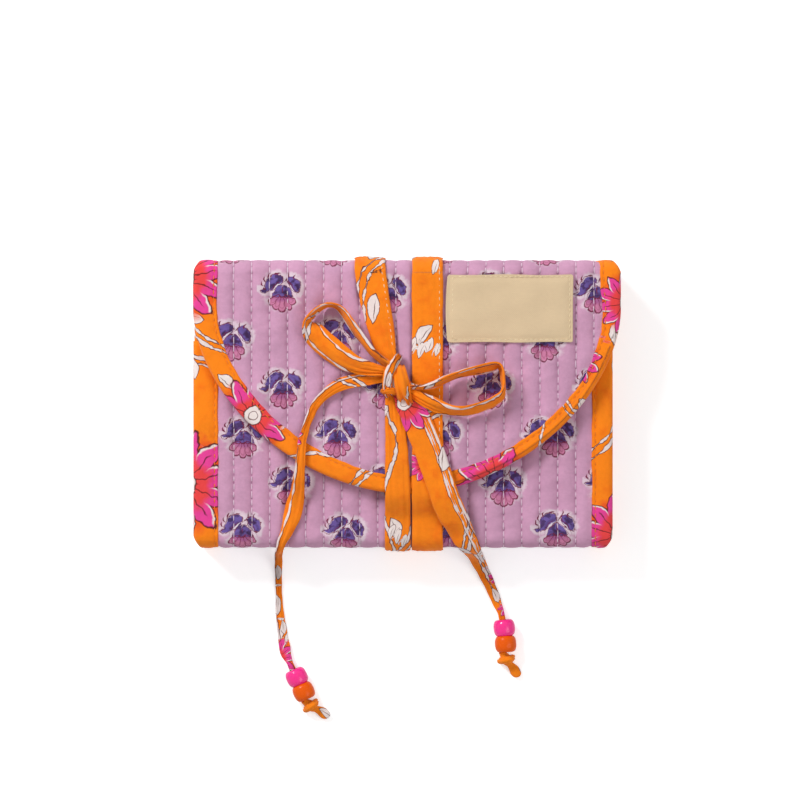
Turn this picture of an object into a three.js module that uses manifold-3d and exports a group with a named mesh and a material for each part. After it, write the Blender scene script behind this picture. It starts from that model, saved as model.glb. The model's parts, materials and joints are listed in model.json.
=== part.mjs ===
// A quilted cotton jewelry organizer, folded in three and tied with a printed ribbon.
// Millimetres, +Z up. It lies on its back: x runs along the folds, +Y points to the top fold,
// and the origin is the middle of the outline on the surface it lies on.
import * as THREE from "three";
import { mergeVertices } from "three/addons/utils/BufferGeometryUtils.js";
import Module from "manifold-3d";

const wasm = await Module();
wasm.setup();

// The folded case
const BODY_LENGTH = 128;
const LEFT_REACH = 95;
const RIGHT_REACH = 91.5;
const CLOSED_HEIGHT = 32;
const FOLD_RADIUS = 6;
const CORNER_STEPS = 3;
const SEAT_GAP = 0.3;

// The quilted panels
const PAD_THICKNESS = 4.2;
const QUILT_PITCH = 8;
const QUILT_PHASE = 3;
const QUILT_DEPTH = 1.6;
const EDGE_THICKNESS = 2;
const SHEET_THICKNESS = 0.8;

// The bound edges
const SIDE_BINDING_LEFT = 11;
const SIDE_BINDING_RIGHT = 9.3;
const FLAP_BINDING = 7.8;
const FRONT_BINDING = 8;
const BINDING_WALL = 1.5;

// The rounded flap, and the front panel under it
const FLAP_HALF_WIDTH = 95;
const FLAP_CURVE_HEIGHT = 82;
const FLAP_CURVE_POWER = 1.8;
const FLAP_CURVE_STEPS = 26;
const FLAP_REACH = 104;
const FRONT_HEIGHT = 92;
const FRONT_TO_FLAP = 1.4;

// The label and the strip for earrings
const LABEL_WIDTH = 55.7;
const LABEL_HEIGHT = 30;
const LABEL_LEFT = 18;
const LABEL_TOP_MARGIN = 6.6;
const LABEL_THICKNESS = 0.7;
const EARRING_STRIP_LENGTH = 120;
const EARRING_STRIP_WIDTH = 20;
const EARRING_STRIP_MARGIN = 14;
const EARRING_HOLES = 8;
const EARRING_HOLE_RADIUS = 0.8;

// The pockets inside
const POCKET_SIDE_MARGIN = 1.5;
const LOWER_POCKET_MARGIN = 12;
const LOWER_POCKET_HEIGHT = 38;
const UPPER_POCKET_HEIGHT = 22;
const SLIP_POCKET_MARGIN = 12;
const SLIP_POCKET_HEIGHT = 56;
const SLIP_POCKET_SPLIT = 3;

// The zips
const ZIP_TAPE_WIDTH = 8;
const ZIP_TAPE_THICKNESS = 0.6;
const ZIP_LENGTH = 140;
const ZIP_TOOTH_PITCH = 4;
const ZIP_TEETH_WIDTH = 4;
const ZIP_TEETH_HEIGHT = 1.4;
const ZIP_TOOTH_NOTCH = 0.6;
const SLIDER_LENGTH = 9;
const SLIDER_WALL = 1.6;
const SLIDER_CLEARANCE = 0.4;
const SLIDER_FROM_END = 4;
const BAIL_WIDTH = 1.6;
const BAIL_LENGTH = 6;
const BAIL_BAR = 1;
const PULL_LENGTH = 20;
const PULL_WIDTH = 6;
const PULL_THICKNESS = 1.1;

// The ring roll and its press stud
const RING_BAR_RADIUS = 5.8;
const RING_BAR_LENGTH = 130;
const RING_BAR_FROM_FOLD = 20;
const RING_BAR_INSET = 17.7;
const RING_BAR_NECK = 4;
const RING_TAB_WIDTH = 9;
const RING_TAB_LENGTH = 15;
const RING_TAB_THICKNESS = 0.8;
const STUD_RADIUS = 5;
const STUD_HEIGHT = 0.9;
const ANCHOR_LENGTH = 11;

// The ribbon tie, wound twice round the case
const RIBBON_WIDTH = 13.8;
const RIBBON_PINCHED = 8;
const RIBBON_THICKNESS = 1;
const STRAIGHT_BAND_X = 9.1;
const UPPER_BAND_X = -16.4;
const LOWER_BAND_X = -4.1;
const LOWER_BAND_WIDTH = 11.4;
const KNOT = { x: -4, y: 11, rx: 6.5, ry: 9, rz: 3.4 };
const LOOP_WIDTH = 8;

// The tails, their beads and end knots
const TAIL_THICKNESS = 1.4;
const THREADED_WIDTH = 2.8;
const BEAD_RADIUS = 4.8;
const BEAD_LENGTH = 6.6;
const BEAD_HOLE = 2.1;
const END_KNOT_RADIUS = 3.4;

// Places that follow from the sizes
const FOLD_Y = BODY_LENGTH / 2;
const FLAT_Y = FOLD_Y - FOLD_RADIUS;
const FLAP_TOP = CLOSED_HEIGHT;
const FLAP_INNER = FLAP_TOP - PAD_THICKNESS;
const FLAP_LINING_UNDER = FLAP_INNER - SEAT_GAP - SHEET_THICKNESS;
const FRONT_TOP = FLAP_LINING_UNDER - FRONT_TO_FLAP;
const FRONT_INNER = FRONT_TOP - PAD_THICKNESS;
const FRONT_LINING_UNDER = FRONT_INNER - SEAT_GAP - SHEET_THICKNESS;
const BACK_LINING_BASE = PAD_THICKNESS + SEAT_GAP;
const POCKET_BASE = BACK_LINING_BASE + SHEET_THICKNESS + SEAT_GAP;
const EDGE_TOP = (PAD_THICKNESS - EDGE_THICKNESS) / 2;
const SLOT = EDGE_THICKNESS + 2 * SEAT_GAP;
const PANEL_LEFT = -LEFT_REACH + SIDE_BINDING_LEFT + SEAT_GAP;
const PANEL_RIGHT = RIGHT_REACH - SIDE_BINDING_RIGHT - SEAT_GAP;
const EDGE_LEFT = -LEFT_REACH + BINDING_WALL + SEAT_GAP;
const EDGE_RIGHT = RIGHT_REACH - BINDING_WALL - SEAT_GAP;
const FLAP_TIP_Y = FOLD_Y - FLAP_REACH;
const FLAP_CURVE_Y = FLAP_TIP_Y + FLAP_CURVE_HEIGHT;
const FRONT_EDGE_Y = FRONT_HEIGHT - FOLD_Y;
const SURFACE_Z = FLAP_TOP + SEAT_GAP;
const BAND_CENTRE_Z = SURFACE_Z + RIBBON_THICKNESS / 2;

const FABRIC = new THREE.MeshStandardMaterial({ color: 0xd09fc4, roughness: 0.9, metalness: 0 });
const LINING = new THREE.MeshStandardMaterial({ color: 0xf0e8de, roughness: 0.9, metalness: 0 });
const ORANGE = new THREE.MeshStandardMaterial({ color: 0xf08a1e, roughness: 0.85, metalness: 0 });
const CREAM = new THREE.MeshStandardMaterial({ color: 0xe4cfa8, roughness: 0.8, metalness: 0 });
const METAL = new THREE.MeshStandardMaterial({ color: 0xc9a86a, roughness: 0.3, metalness: 1 });
const PINK_BEAD = new THREE.MeshStandardMaterial({ color: 0xee3d9c, roughness: 0.2, metalness: 0 });
const ORANGE_BEAD = new THREE.MeshStandardMaterial({ color: 0xf06a10, roughness: 0.2, metalness: 0 });

// A geometry as a solid that can be cut and joined.
function toSolid(geometry) {
  const bare = geometry.index ? geometry.toNonIndexed() : geometry.clone();
  bare.deleteAttribute("normal");
  bare.deleteAttribute("uv");
  const merged = mergeVertices(bare, 1e-4);
  return new wasm.Manifold(
    new wasm.Mesh({
      numProp: 3,
      vertProperties: merged.attributes.position.array,
      triVerts: new Uint32Array(merged.index.array),
    }),
  );
}

// The solid's surface as a geometry again.
function toGeometry(solid) {
  const mesh = solid.getMesh();
  const geometry = new THREE.BufferGeometry();
  geometry.setAttribute("position", new THREE.BufferAttribute(new Float32Array(mesh.vertProperties), 3));
  geometry.setIndex(new THREE.BufferAttribute(new Uint32Array(mesh.triVerts), 1));
  return geometry;
}

function signedVolume(points, triangles) {
  let sum = 0;
  for (let i = 0; i < triangles.length; i += 3) {
    const [a, b, c] = [0, 1, 2].map((k) => points[triangles[i + k]]);
    sum += a.dot(new THREE.Vector3().crossVectors(b, c));
  }
  return sum / 6;
}

// Sweeps a section through stations. Each station has a place o, the directions u and v that the
// section is drawn in, and may have its own section of the same number of points.
function sweep(stations, section) {
  const first = stations[0].section ?? section;
  const count = first.length;
  const points = [];
  for (const { o, u, v, section: own } of stations)
    for (const [a, b] of own ?? section)
      points.push(o.clone().addScaledVector(u, a).addScaledVector(v, b));
  const triangles = [];
  for (let i = 0; i + 1 < stations.length; i += 1)
    for (let k = 0; k < count; k += 1) {
      const here = i * count + k;
      const next = i * count + ((k + 1) % count);
      triangles.push(here, next, next + count, here, next + count, here + count);
    }
  const outline = first.map(([a, b]) => new THREE.Vector2(a, b));
  const turned = THREE.ShapeUtils.area(outline) < 0;
  const far = (stations.length - 1) * count;
  for (const [a, b, c] of THREE.ShapeUtils.triangulateShape(outline, [])) {
    const [p, q] = turned ? [c, b] : [b, c];
    triangles.push(...(turned ? [a, b, c] : [a, c, b]));
    triangles.push(...(turned ? [far + a, far + p, far + q] : [far + a, far + p, far + q]));
  }
  if (signedVolume(points, triangles) < 0)
    for (let i = 0; i < triangles.length; i += 3)
      [triangles[i + 1], triangles[i + 2]] = [triangles[i + 2], triangles[i + 1]];
  const geometry = new THREE.BufferGeometry().setFromPoints(points);
  geometry.setIndex(triangles);
  return geometry;
}

const alongX = new THREE.Vector3(1, 0, 0);
const upZ = new THREE.Vector3(0, 0, 1);

// A station on a path in the YZ plane. The angle is that of the outward normal, from +Y towards +Z.
function foldStation(y, z, angle, x = 0) {
  return {
    o: new THREE.Vector3(x, y, z),
    u: alongX,
    v: new THREE.Vector3(0, Math.cos(angle), Math.sin(angle)),
  };
}

// The outer surface round one fold, from the back at z = 0 to a panel whose outer face is at height.
// side is 1 for the top fold and -1 for the bottom one.
function foldPath(side, height) {
  const stations = [];
  for (const [centre, from] of [
    [FOLD_RADIUS, -Math.PI / 2],
    [height - FOLD_RADIUS, 0],
  ])
    for (let i = 0; i <= CORNER_STEPS; i += 1) {
      const angle = from + (i / CORNER_STEPS) * (Math.PI / 2);
      const y = FLAT_Y + FOLD_RADIUS * Math.cos(angle);
      const z = centre + FOLD_RADIUS * Math.sin(angle);
      stations.push(foldStation(side * y, z, side > 0 ? angle : Math.PI - angle));
    }
  return stations;
}

// A flat run of the outer surface, from one y to another, facing up or down.
function flatPath(fromY, toY, z, facing) {
  return [fromY, toY].map((y) => foldStation(y, z, (facing * Math.PI) / 2));
}

// How far the quilted surface lies below its crests at x.
function quiltDrop(x) {
  const share = (((x - QUILT_PHASE) % QUILT_PITCH) + QUILT_PITCH) % QUILT_PITCH / QUILT_PITCH;
  return QUILT_DEPTH * (1 - Math.min(1, 3 * Math.min(share, 1 - share)));
}

// The quilted section: puffed ridges between the sewn lines, and a thin edge at each side
// that goes into the binding.
function quiltSection(left, right, edgeLeft, edgeRight) {
  const ridge = [];
  const step = QUILT_PITCH / 3;
  const startLine = Math.ceil((left - QUILT_PHASE) / step + 0.2);
  for (let i = startLine; QUILT_PHASE + i * step < right - 0.2 * step; i += 1) {
    const x = QUILT_PHASE + i * step;
    ridge.push([x, -quiltDrop(x)]);
  }
  const edgeUnder = -EDGE_TOP - EDGE_THICKNESS;
  return [
    [edgeLeft, -EDGE_TOP],
    [left, -EDGE_TOP],
    ...ridge,
    [right, -EDGE_TOP],
    [edgeRight, -EDGE_TOP],
    [edgeRight, edgeUnder],
    [right, edgeUnder],
    [right, -PAD_THICKNESS],
    [left, -PAD_THICKNESS],
    [left, edgeUnder],
    [edgeLeft, edgeUnder],
  ];
}

const CASE_SECTION = quiltSection(PANEL_LEFT, PANEL_RIGHT, EDGE_LEFT, EDGE_RIGHT);

// The folded strip that binds an edge, drawn from its inner edge at 0 outwards, round a slot.
function bindingSection(width) {
  const under = -PAD_THICKNESS;
  const round = PAD_THICKNESS * 0.3;
  const slotEnd = width - BINDING_WALL;
  const slotTop = -(PAD_THICKNESS - SLOT) / 2;
  return [
    [0, 0],
    [width - round, 0],
    [width, -round],
    [width, under + round],
    [width - round, under],
    [0, under],
    [0, slotTop - SLOT],
    [slotEnd, slotTop - SLOT],
    [slotEnd, slotTop],
    [0, slotTop],
  ];
}

function sideBinding(path, side) {
  const width = side < 0 ? SIDE_BINDING_LEFT : SIDE_BINDING_RIGHT;
  const inner = side < 0 ? -LEFT_REACH + width : RIGHT_REACH - width;
  const section = bindingSection(width).map(([a, b]) => [inner + side * a, b]);
  return sweep(path, section);
}

// The flap's rounded edge, moved inwards, from its left side at the fold to its right side.
function flapEdge(inset) {
  const across = FLAP_HALF_WIDTH;
  const curve = (turn) => {
    const [c, s] = [Math.cos(turn), Math.sin(turn)];
    const x = -across * Math.sign(c) * Math.abs(c) ** (2 / FLAP_CURVE_POWER);
    const y = FLAP_CURVE_Y - FLAP_CURVE_HEIGHT * Math.abs(s) ** (2 / FLAP_CURVE_POWER);
    return new THREE.Vector2(x, y);
  };
  const edge = [{ p: new THREE.Vector2(-across, FLAT_Y - SEAT_GAP), n: new THREE.Vector2(-1, 0) }];
  for (let i = 0; i <= FLAP_CURVE_STEPS; i += 1) {
    const turn = (Math.PI * i) / FLAP_CURVE_STEPS;
    const along = curve(Math.min(turn + 0.02, Math.PI)).sub(curve(Math.max(turn - 0.02, 0)));
    const end = i === 0 || i === FLAP_CURVE_STEPS;
    const n = end ? new THREE.Vector2(i ? 1 : -1, 0) : new THREE.Vector2(along.y, -along.x).normalize();
    edge.push({ p: curve(turn), n });
  }
  edge.push({ p: new THREE.Vector2(across, FLAT_Y - SEAT_GAP), n: new THREE.Vector2(1, 0) });
  return edge.map(({ p, n }) => ({ p: p.clone().addScaledVector(n, -inset), n }));
}

function plate(points, base, thickness) {
  const geometry = new THREE.ExtrudeGeometry(new THREE.Shape(points), {
    depth: thickness,
    bevelEnabled: false,
  });
  return geometry.translate(0, 0, base);
}

function box(x, y, z) {
  const size = [x, y, z].map(([low, high]) => high - low);
  const centre = [x, y, z].map(([low, high]) => (low + high) / 2);
  return new THREE.BoxGeometry(...size).translate(...centre);
}

// The ribbon's path round one fold, outside the case at the wall and sunk into the padding where
// it turns under the back. lower is the height of its middle on the back.
function bandTurn(side, height, x, lower, grow = 0) {
  const out = SEAT_GAP + RIBBON_THICKNESS / 2;
  const bend = FOLD_RADIUS + out;
  const low = FOLD_RADIUS * 1.4;
  const stations = [foldStation(side * (FLAT_Y - grow), lower, -Math.PI / 2, x)];
  for (let i = 0; i <= CORNER_STEPS; i += 1) {
    const angle = -Math.PI / 2 + (i / CORNER_STEPS) * (Math.PI / 2);
    const y = FLAT_Y + SEAT_GAP / 2 + (bend - SEAT_GAP / 2) * Math.cos(angle);
    const z = low + (low - lower) * Math.sin(angle);
    stations.push(foldStation(side * y, z, side > 0 ? angle : Math.PI - angle, x));
  }
  for (let i = 0; i <= CORNER_STEPS; i += 1) {
    const angle = (i / CORNER_STEPS) * (Math.PI / 2);
    const y = FLAT_Y + SEAT_GAP / 2 + (bend - SEAT_GAP / 2) * Math.cos(angle);
    const z = height - FOLD_RADIUS + bend * Math.sin(angle);
    stations.push(foldStation(side * y, z, side > 0 ? angle : Math.PI - angle, x));
  }
  return grow ? stations : stations.slice(1);
}

// The ribbon's section, or the space that it needs in the padding, open to the outside.
function bandSection(width, cutting = false) {
  const half = width / 2 + (cutting ? SEAT_GAP : 0);
  const inner = -RIBBON_THICKNESS / 2 - (cutting ? SEAT_GAP : 0);
  const outer = cutting ? FOLD_RADIUS : RIBBON_THICKNESS / 2;
  return [
    [-half, inner],
    [half, inner],
    [half, outer],
    [-half, outer],
  ];
}

const OUTER_LAYER = SEAT_GAP / 2 + RIBBON_THICKNESS / 2;
const INNER_LAYER = OUTER_LAYER + RIBBON_THICKNESS + SEAT_GAP;

// Each ribbon turn: its fold, the case's height there, where it lies in x, its width and its layer.
const TURNS = {
  tie_top_turn_left: [1, FLAP_TOP, UPPER_BAND_X, RIBBON_WIDTH, OUTER_LAYER],
  tie_top_turn_right: [1, FLAP_TOP, STRAIGHT_BAND_X, RIBBON_WIDTH, INNER_LAYER],
  tie_bottom_turn_left: [-1, FRONT_TOP, LOWER_BAND_X, LOWER_BAND_WIDTH, INNER_LAYER],
  tie_bottom_turn_right: [-1, FRONT_TOP, STRAIGHT_BAND_X, RIBBON_WIDTH, OUTER_LAYER],
};

// Each ribbon run on the back, slanting from the top fold to the bottom one.
const BACK_RUNS = {
  tie_back_outer: [UPPER_BAND_X, RIBBON_WIDTH, STRAIGHT_BAND_X, RIBBON_WIDTH, OUTER_LAYER],
  tie_back_inner: [STRAIGHT_BAND_X, RIBBON_WIDTH, LOWER_BAND_X, LOWER_BAND_WIDTH, INNER_LAYER],
};

function backRun([topX, topWidth, bottomX, bottomWidth, layer], cutting = false) {
  const end = FLAT_Y - SEAT_GAP / 2;
  const past = cutting ? FOLD_RADIUS / (2 * end) : 0;
  const station = (share) => {
    const x = THREE.MathUtils.lerp(topX, bottomX, share);
    const placed = foldStation(end * (1 - 2 * share), layer, -Math.PI / 2, x);
    placed.section = bandSection(THREE.MathUtils.lerp(topWidth, bottomWidth, share), cutting);
    return placed;
  };
  return sweep([station(-past), station(1 + past)]);
}

function turnCutter(name) {
  const [side, height, x, width, layer] = TURNS[name];
  return toSolid(sweep(bandTurn(side, height, x, layer, FOLD_RADIUS), bandSection(width, true)));
}

const root = new THREE.Group();

function add(group, name, geometry, material) {
  const mesh = new THREE.Mesh(geometry, material);
  mesh.name = name;
  group.add(mesh);
}

// The back: panel, lining and side bindings
const backCase = new THREE.Group();
const backPath = flatPath(-FLAT_Y + SEAT_GAP, FLAT_Y - SEAT_GAP, 0, -1);
let backPanel = toSolid(sweep(backPath, CASE_SECTION));
for (const run of Object.values(BACK_RUNS)) backPanel = backPanel.subtract(toSolid(backRun(run, true)));
add(backCase, "back_panel", toGeometry(backPanel), FABRIC);
const liningX = [PANEL_LEFT, PANEL_RIGHT];
const liningEnd = FLAT_Y - SEAT_GAP;
const backLining = [BACK_LINING_BASE, BACK_LINING_BASE + SHEET_THICKNESS];
add(backCase, "back_lining", box(liningX, [-liningEnd, liningEnd], backLining), LINING);
add(backCase, "back_binding_left", sideBinding(backPath, -1), ORANGE);
add(backCase, "back_binding_right", sideBinding(backPath, 1), ORANGE);

// The zipped pockets, one above the other
const pocketX = [PANEL_LEFT + POCKET_SIDE_MARGIN, PANEL_RIGHT - POCKET_SIDE_MARGIN];
const pocketMiddle = (pocketX[0] + pocketX[1]) / 2;
const pocketZ = [POCKET_BASE, POCKET_BASE + SHEET_THICKNESS];
const tapeZ = [POCKET_BASE, POCKET_BASE + ZIP_TAPE_THICKNESS];
const teethBase = tapeZ[1] + SEAT_GAP;
const teethTop = teethBase + ZIP_TEETH_HEIGHT;
const sliderTop = teethTop + SLIDER_CLEARANCE + SLIDER_WALL;
const windowTop = sliderTop + PULL_THICKNESS + 3 * SEAT_GAP;
const bailTop = windowTop + BAIL_BAR * 0.7;
const pullMiddle = (sliderTop + windowTop) / 2;

function zipTeeth(y) {
  const half = ZIP_TEETH_WIDTH / 2;
  const count = Math.round(ZIP_LENGTH / ZIP_TOOTH_PITCH);
  const start = pocketMiddle - ZIP_LENGTH / 2;
  const pitch = ZIP_LENGTH / count;
  const outline = [];
  const side = (sign, index) => {
    const x = start + index * pitch;
    const notch = sign * (half - ZIP_TOOTH_NOTCH);
    const full = sign * half;
    const points = [
      [x, full],
      [x + pitch * 0.5, full],
      [x + pitch * 0.55, notch],
      [x + pitch * 0.95, notch],
    ];
    return (sign < 0 ? points : points.reverse()).map(([a, b]) => new THREE.Vector2(a, y + b));
  };
  for (let i = 0; i < count; i += 1) outline.push(...side(-1, i));
  for (let i = count - 1; i >= 0; i -= 1) outline.push(...side(1, i));
  return plate(outline, teethBase, ZIP_TEETH_HEIGHT);
}

function zipSlider(x, y) {
  const halfLength = SLIDER_LENGTH / 2;
  const channel = ZIP_TEETH_WIDTH / 2 + SLIDER_CLEARANCE;
  const outer = channel + SLIDER_WALL;
  const block = box([x - halfLength, x + halfLength], [y - outer, y + outer], [teethBase, sliderTop]);
  const past = halfLength + 1;
  const groove = box(
    [x - past, x + past],
    [y - channel, y + channel],
    [teethBase - 1, teethTop + SLIDER_CLEARANCE],
  );
  const halfBail = BAIL_LENGTH / 2;
  const bail = box(
    [x - halfBail, x + halfBail],
    [y - BAIL_WIDTH / 2, y + BAIL_WIDTH / 2],
    [sliderTop - SLIDER_WALL / 2, bailTop],
  );
  const window = box(
    [x - halfBail + BAIL_BAR, x + halfBail - BAIL_BAR],
    [y - BAIL_WIDTH, y + BAIL_WIDTH],
    [sliderTop, windowTop],
  );
  const body = toSolid(block).subtract(toSolid(groove));
  return toGeometry(body.add(toSolid(bail).subtract(toSolid(window))));
}

function zipPull(x, y) {
  const half = PULL_THICKNESS / 2;
  const barEnd = x + half;
  const arm = BAIL_WIDTH / 2 + 2 * SEAT_GAP;
  const z = [pullMiddle - half, pullMiddle + half];
  const tongue = box([x - half, x + PULL_LENGTH], [y - PULL_WIDTH / 2, y + PULL_WIDTH / 2], z);
  const gap = box(
    [barEnd, x + BAIL_LENGTH / 2 + 3 * SEAT_GAP],
    [y - arm, y + arm],
    [z[0] - 1, z[1] + 1],
  );
  return toGeometry(toSolid(tongue).subtract(toSolid(gap)));
}

const lowerPocketFrom = -FOLD_Y + LOWER_POCKET_MARGIN;
const lowerZipY = lowerPocketFrom + LOWER_POCKET_HEIGHT + SEAT_GAP + ZIP_TAPE_WIDTH / 2;
const upperPocketFrom = lowerZipY + ZIP_TAPE_WIDTH / 2 + SEAT_GAP;
const upperZipY = upperPocketFrom + UPPER_POCKET_HEIGHT + SEAT_GAP + ZIP_TAPE_WIDTH / 2;
const sliderX = pocketMiddle - ZIP_LENGTH / 2 + SLIDER_FROM_END + SLIDER_LENGTH / 2;
const zips = [
  ["lower", lowerPocketFrom, LOWER_POCKET_HEIGHT, lowerZipY],
  ["upper", upperPocketFrom, UPPER_POCKET_HEIGHT, upperZipY],
];
for (const [name, from, height, zipY] of zips) {
  const tapeY = [zipY - ZIP_TAPE_WIDTH / 2, zipY + ZIP_TAPE_WIDTH / 2];
  add(backCase, "pocket_" + name, box(pocketX, [from, from + height], pocketZ), FABRIC);
  add(backCase, "zip_tape_" + name, box(pocketX, tapeY, tapeZ), ORANGE);
  add(backCase, "zip_teeth_" + name, zipTeeth(zipY), METAL);
  add(root, "zip_slider_" + name, zipSlider(sliderX, zipY), METAL);
  add(root, "zip_pull_" + name, zipPull(sliderX, zipY), METAL);
}

// The ring roll: sewn down at its left end, closed by a press stud at its right end
const ringY = FOLD_Y - RING_BAR_FROM_FOLD;
const ringZ = POCKET_BASE + 2 * SEAT_GAP + RING_BAR_RADIUS;
const ringFrom = PANEL_LEFT + RING_BAR_INSET;
const ringTo = ringFrom + RING_BAR_LENGTH;
const rollProfile = [
  [0, 0],
  [0.75, 0],
  [1, 0.25],
  [1, RING_BAR_LENGTH / RING_BAR_RADIUS - 0.25],
  [0.75, RING_BAR_LENGTH / RING_BAR_RADIUS],
  [0, RING_BAR_LENGTH / RING_BAR_RADIUS],
].map(([r, h]) => new THREE.Vector2(r * RING_BAR_RADIUS, h * RING_BAR_RADIUS));
const roll = new THREE.LatheGeometry(rollProfile, 16)
  .rotateZ(-Math.PI / 2)
  .translate(ringFrom, ringY, ringZ);
const ringStrap = [ringY - RING_TAB_WIDTH / 2, ringY + RING_TAB_WIDTH / 2];
const neckZ = [POCKET_BASE + 2 * SEAT_GAP, POCKET_BASE + 2 * SEAT_GAP + RING_BAR_RADIUS / 2];
const neck = box([ringFrom - RING_BAR_NECK, ringFrom + 1], ringStrap, neckZ);
add(root, "ring_bar", toGeometry(toSolid(roll).add(toSolid(neck))), FABRIC);
const anchorEnd = ringFrom - RING_BAR_NECK - SEAT_GAP;
const anchorZ = [POCKET_BASE, POCKET_BASE + SHEET_THICKNESS];
add(backCase, "ring_bar_anchor", box([anchorEnd - ANCHOR_LENGTH, anchorEnd], ringStrap, anchorZ), ORANGE);
const studTop = POCKET_BASE + STUD_HEIGHT;
const tabZ = studTop + SEAT_GAP + RING_TAB_THICKNESS / 2;
const tabStations = [
  [ringTo + SEAT_GAP, ringZ],
  [ringTo + SEAT_GAP + RING_TAB_THICKNESS, ringZ],
  [ringTo + RING_TAB_LENGTH * 0.25, tabZ + RING_TAB_THICKNESS],
  [ringTo + RING_TAB_LENGTH * 0.35, tabZ],
  [ringTo + RING_TAB_LENGTH, tabZ],
].map(([x, z]) => ({ o: new THREE.Vector3(x, ringY, z), u: new THREE.Vector3(0, 1, 0), v: upZ }));
const tabHalf = RING_TAB_THICKNESS / 2;
const tabSection = [
  [-RING_TAB_WIDTH / 2, -tabHalf],
  [RING_TAB_WIDTH / 2, -tabHalf],
  [RING_TAB_WIDTH / 2, tabHalf],
  [-RING_TAB_WIDTH / 2, tabHalf],
];
add(root, "ring_bar_tab", sweep(tabStations, tabSection), ORANGE);

// A press stud's half: a low dome over or under the tab
function stud(x, base, height) {
  const profile = [
    [0, 0],
    [STUD_RADIUS, 0],
    [STUD_RADIUS, height * 0.5],
    [STUD_RADIUS * 0.7, height],
    [0, height],
  ].map(([r, h]) => new THREE.Vector2(r, h));
  return new THREE.LatheGeometry(profile, 16).rotateX(Math.PI / 2).translate(x, ringY, base);
}
const studX = ringTo + RING_TAB_LENGTH - STUD_RADIUS - SEAT_GAP;
add(backCase, "press_stud_socket", stud(studX, POCKET_BASE, STUD_HEIGHT), METAL);
const capBase = tabZ + tabHalf + SEAT_GAP;
add(root, "press_stud_cap", stud(studX, capBase, STUD_HEIGHT * 1.4), METAL);
root.add(backCase);

// A padded fold: its panel, cut where the ribbon turns under it, its lining and side bindings
function paddedFold(name, side, height, turns) {
  const group = new THREE.Group();
  const path = foldPath(side, height);
  let panel = toSolid(sweep(path, CASE_SECTION));
  for (const turn of turns) panel = panel.subtract(turnCutter(turn));
  add(group, name + "_panel", toGeometry(panel), FABRIC);
  const inner = side * (FOLD_Y - PAD_THICKNESS - SEAT_GAP);
  const liningY = [inner, inner - side * SHEET_THICKNESS].sort((a, b) => a - b);
  const liningZ = [FOLD_RADIUS, height - FOLD_RADIUS];
  add(group, name + "_lining", box(liningX, liningY, liningZ), LINING);
  add(group, name + "_binding_left", sideBinding(path, -1), ORANGE);
  add(group, name + "_binding_right", sideBinding(path, 1), ORANGE);
  root.add(group);
}
paddedFold("top_fold", 1, FLAP_TOP, ["tie_top_turn_left", "tie_top_turn_right"]);
paddedFold("bottom_fold", -1, FRONT_TOP, ["tie_bottom_turn_left", "tie_bottom_turn_right"]);

// The flap: quilted inside its curved binding, with a thin edge in the binding's slot
const flap = new THREE.Group();
const outline = (inset) => flapEdge(inset).map(({ p }) => p);
const crownEdge = FLAP_HALF_WIDTH - FLAP_BINDING;
const crown = sweep(
  flatPath(FLAP_TIP_Y, FLAT_Y - SEAT_GAP, FLAP_TOP, 1),
  quiltSection(-crownEdge, crownEdge, -crownEdge - 1, crownEdge + 1),
);
const crownLimit = plate(outline(FLAP_BINDING + SEAT_GAP), 0, CLOSED_HEIGHT + PAD_THICKNESS);
const flapEdgeBase = FLAP_TOP - EDGE_TOP - EDGE_THICKNESS;
const thinEdge = plate(outline(BINDING_WALL + SEAT_GAP), flapEdgeBase, EDGE_THICKNESS);
const flapPanel = toSolid(crown).intersect(toSolid(crownLimit)).add(toSolid(thinEdge));
add(flap, "flap_panel", toGeometry(flapPanel), FABRIC);
const flapLining = plate(outline(FLAP_BINDING + SEAT_GAP), FLAP_LINING_UNDER, SHEET_THICKNESS);
add(flap, "flap_lining", flapLining, LINING);
const flapBindingPath = flapEdge(FLAP_BINDING).map(({ p, n }) => ({
  o: new THREE.Vector3(p.x, p.y, FLAP_TOP),
  u: new THREE.Vector3(n.x, n.y, 0),
  v: upZ,
}));
add(flap, "flap_binding", sweep(flapBindingPath, bindingSection(FLAP_BINDING)), ORANGE);
const labelTop = FOLD_Y - LABEL_TOP_MARGIN;
const label = box(
  [LABEL_LEFT, LABEL_LEFT + LABEL_WIDTH],
  [labelTop - LABEL_HEIGHT, labelTop],
  [SURFACE_Z, SURFACE_Z + LABEL_THICKNESS],
);
add(flap, "blank_label", label, CREAM);
const stripTop = FLAP_LINING_UNDER - SEAT_GAP;
const stripZ = [stripTop - SHEET_THICKNESS, stripTop];
const stripTo = FOLD_Y - EARRING_STRIP_MARGIN;
const halfStrip = EARRING_STRIP_LENGTH / 2;
const stripY = [stripTo - EARRING_STRIP_WIDTH, stripTo];
let strip = toSolid(box([-halfStrip, halfStrip], stripY, stripZ));
for (let i = 0; i < EARRING_HOLES; i += 1)
  for (const row of [0.3, 0.7]) {
    const hole = new THREE.CylinderGeometry(EARRING_HOLE_RADIUS, EARRING_HOLE_RADIUS, 4, 6);
    hole.rotateX(Math.PI / 2);
    const x = -halfStrip + ((i + 0.5) / EARRING_HOLES) * EARRING_STRIP_LENGTH;
    hole.translate(x, stripY[0] + row * EARRING_STRIP_WIDTH, stripTop);
    strip = strip.subtract(toSolid(hole));
  }
add(flap, "earring_strip", toGeometry(strip), CREAM);
root.add(flap);

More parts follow.
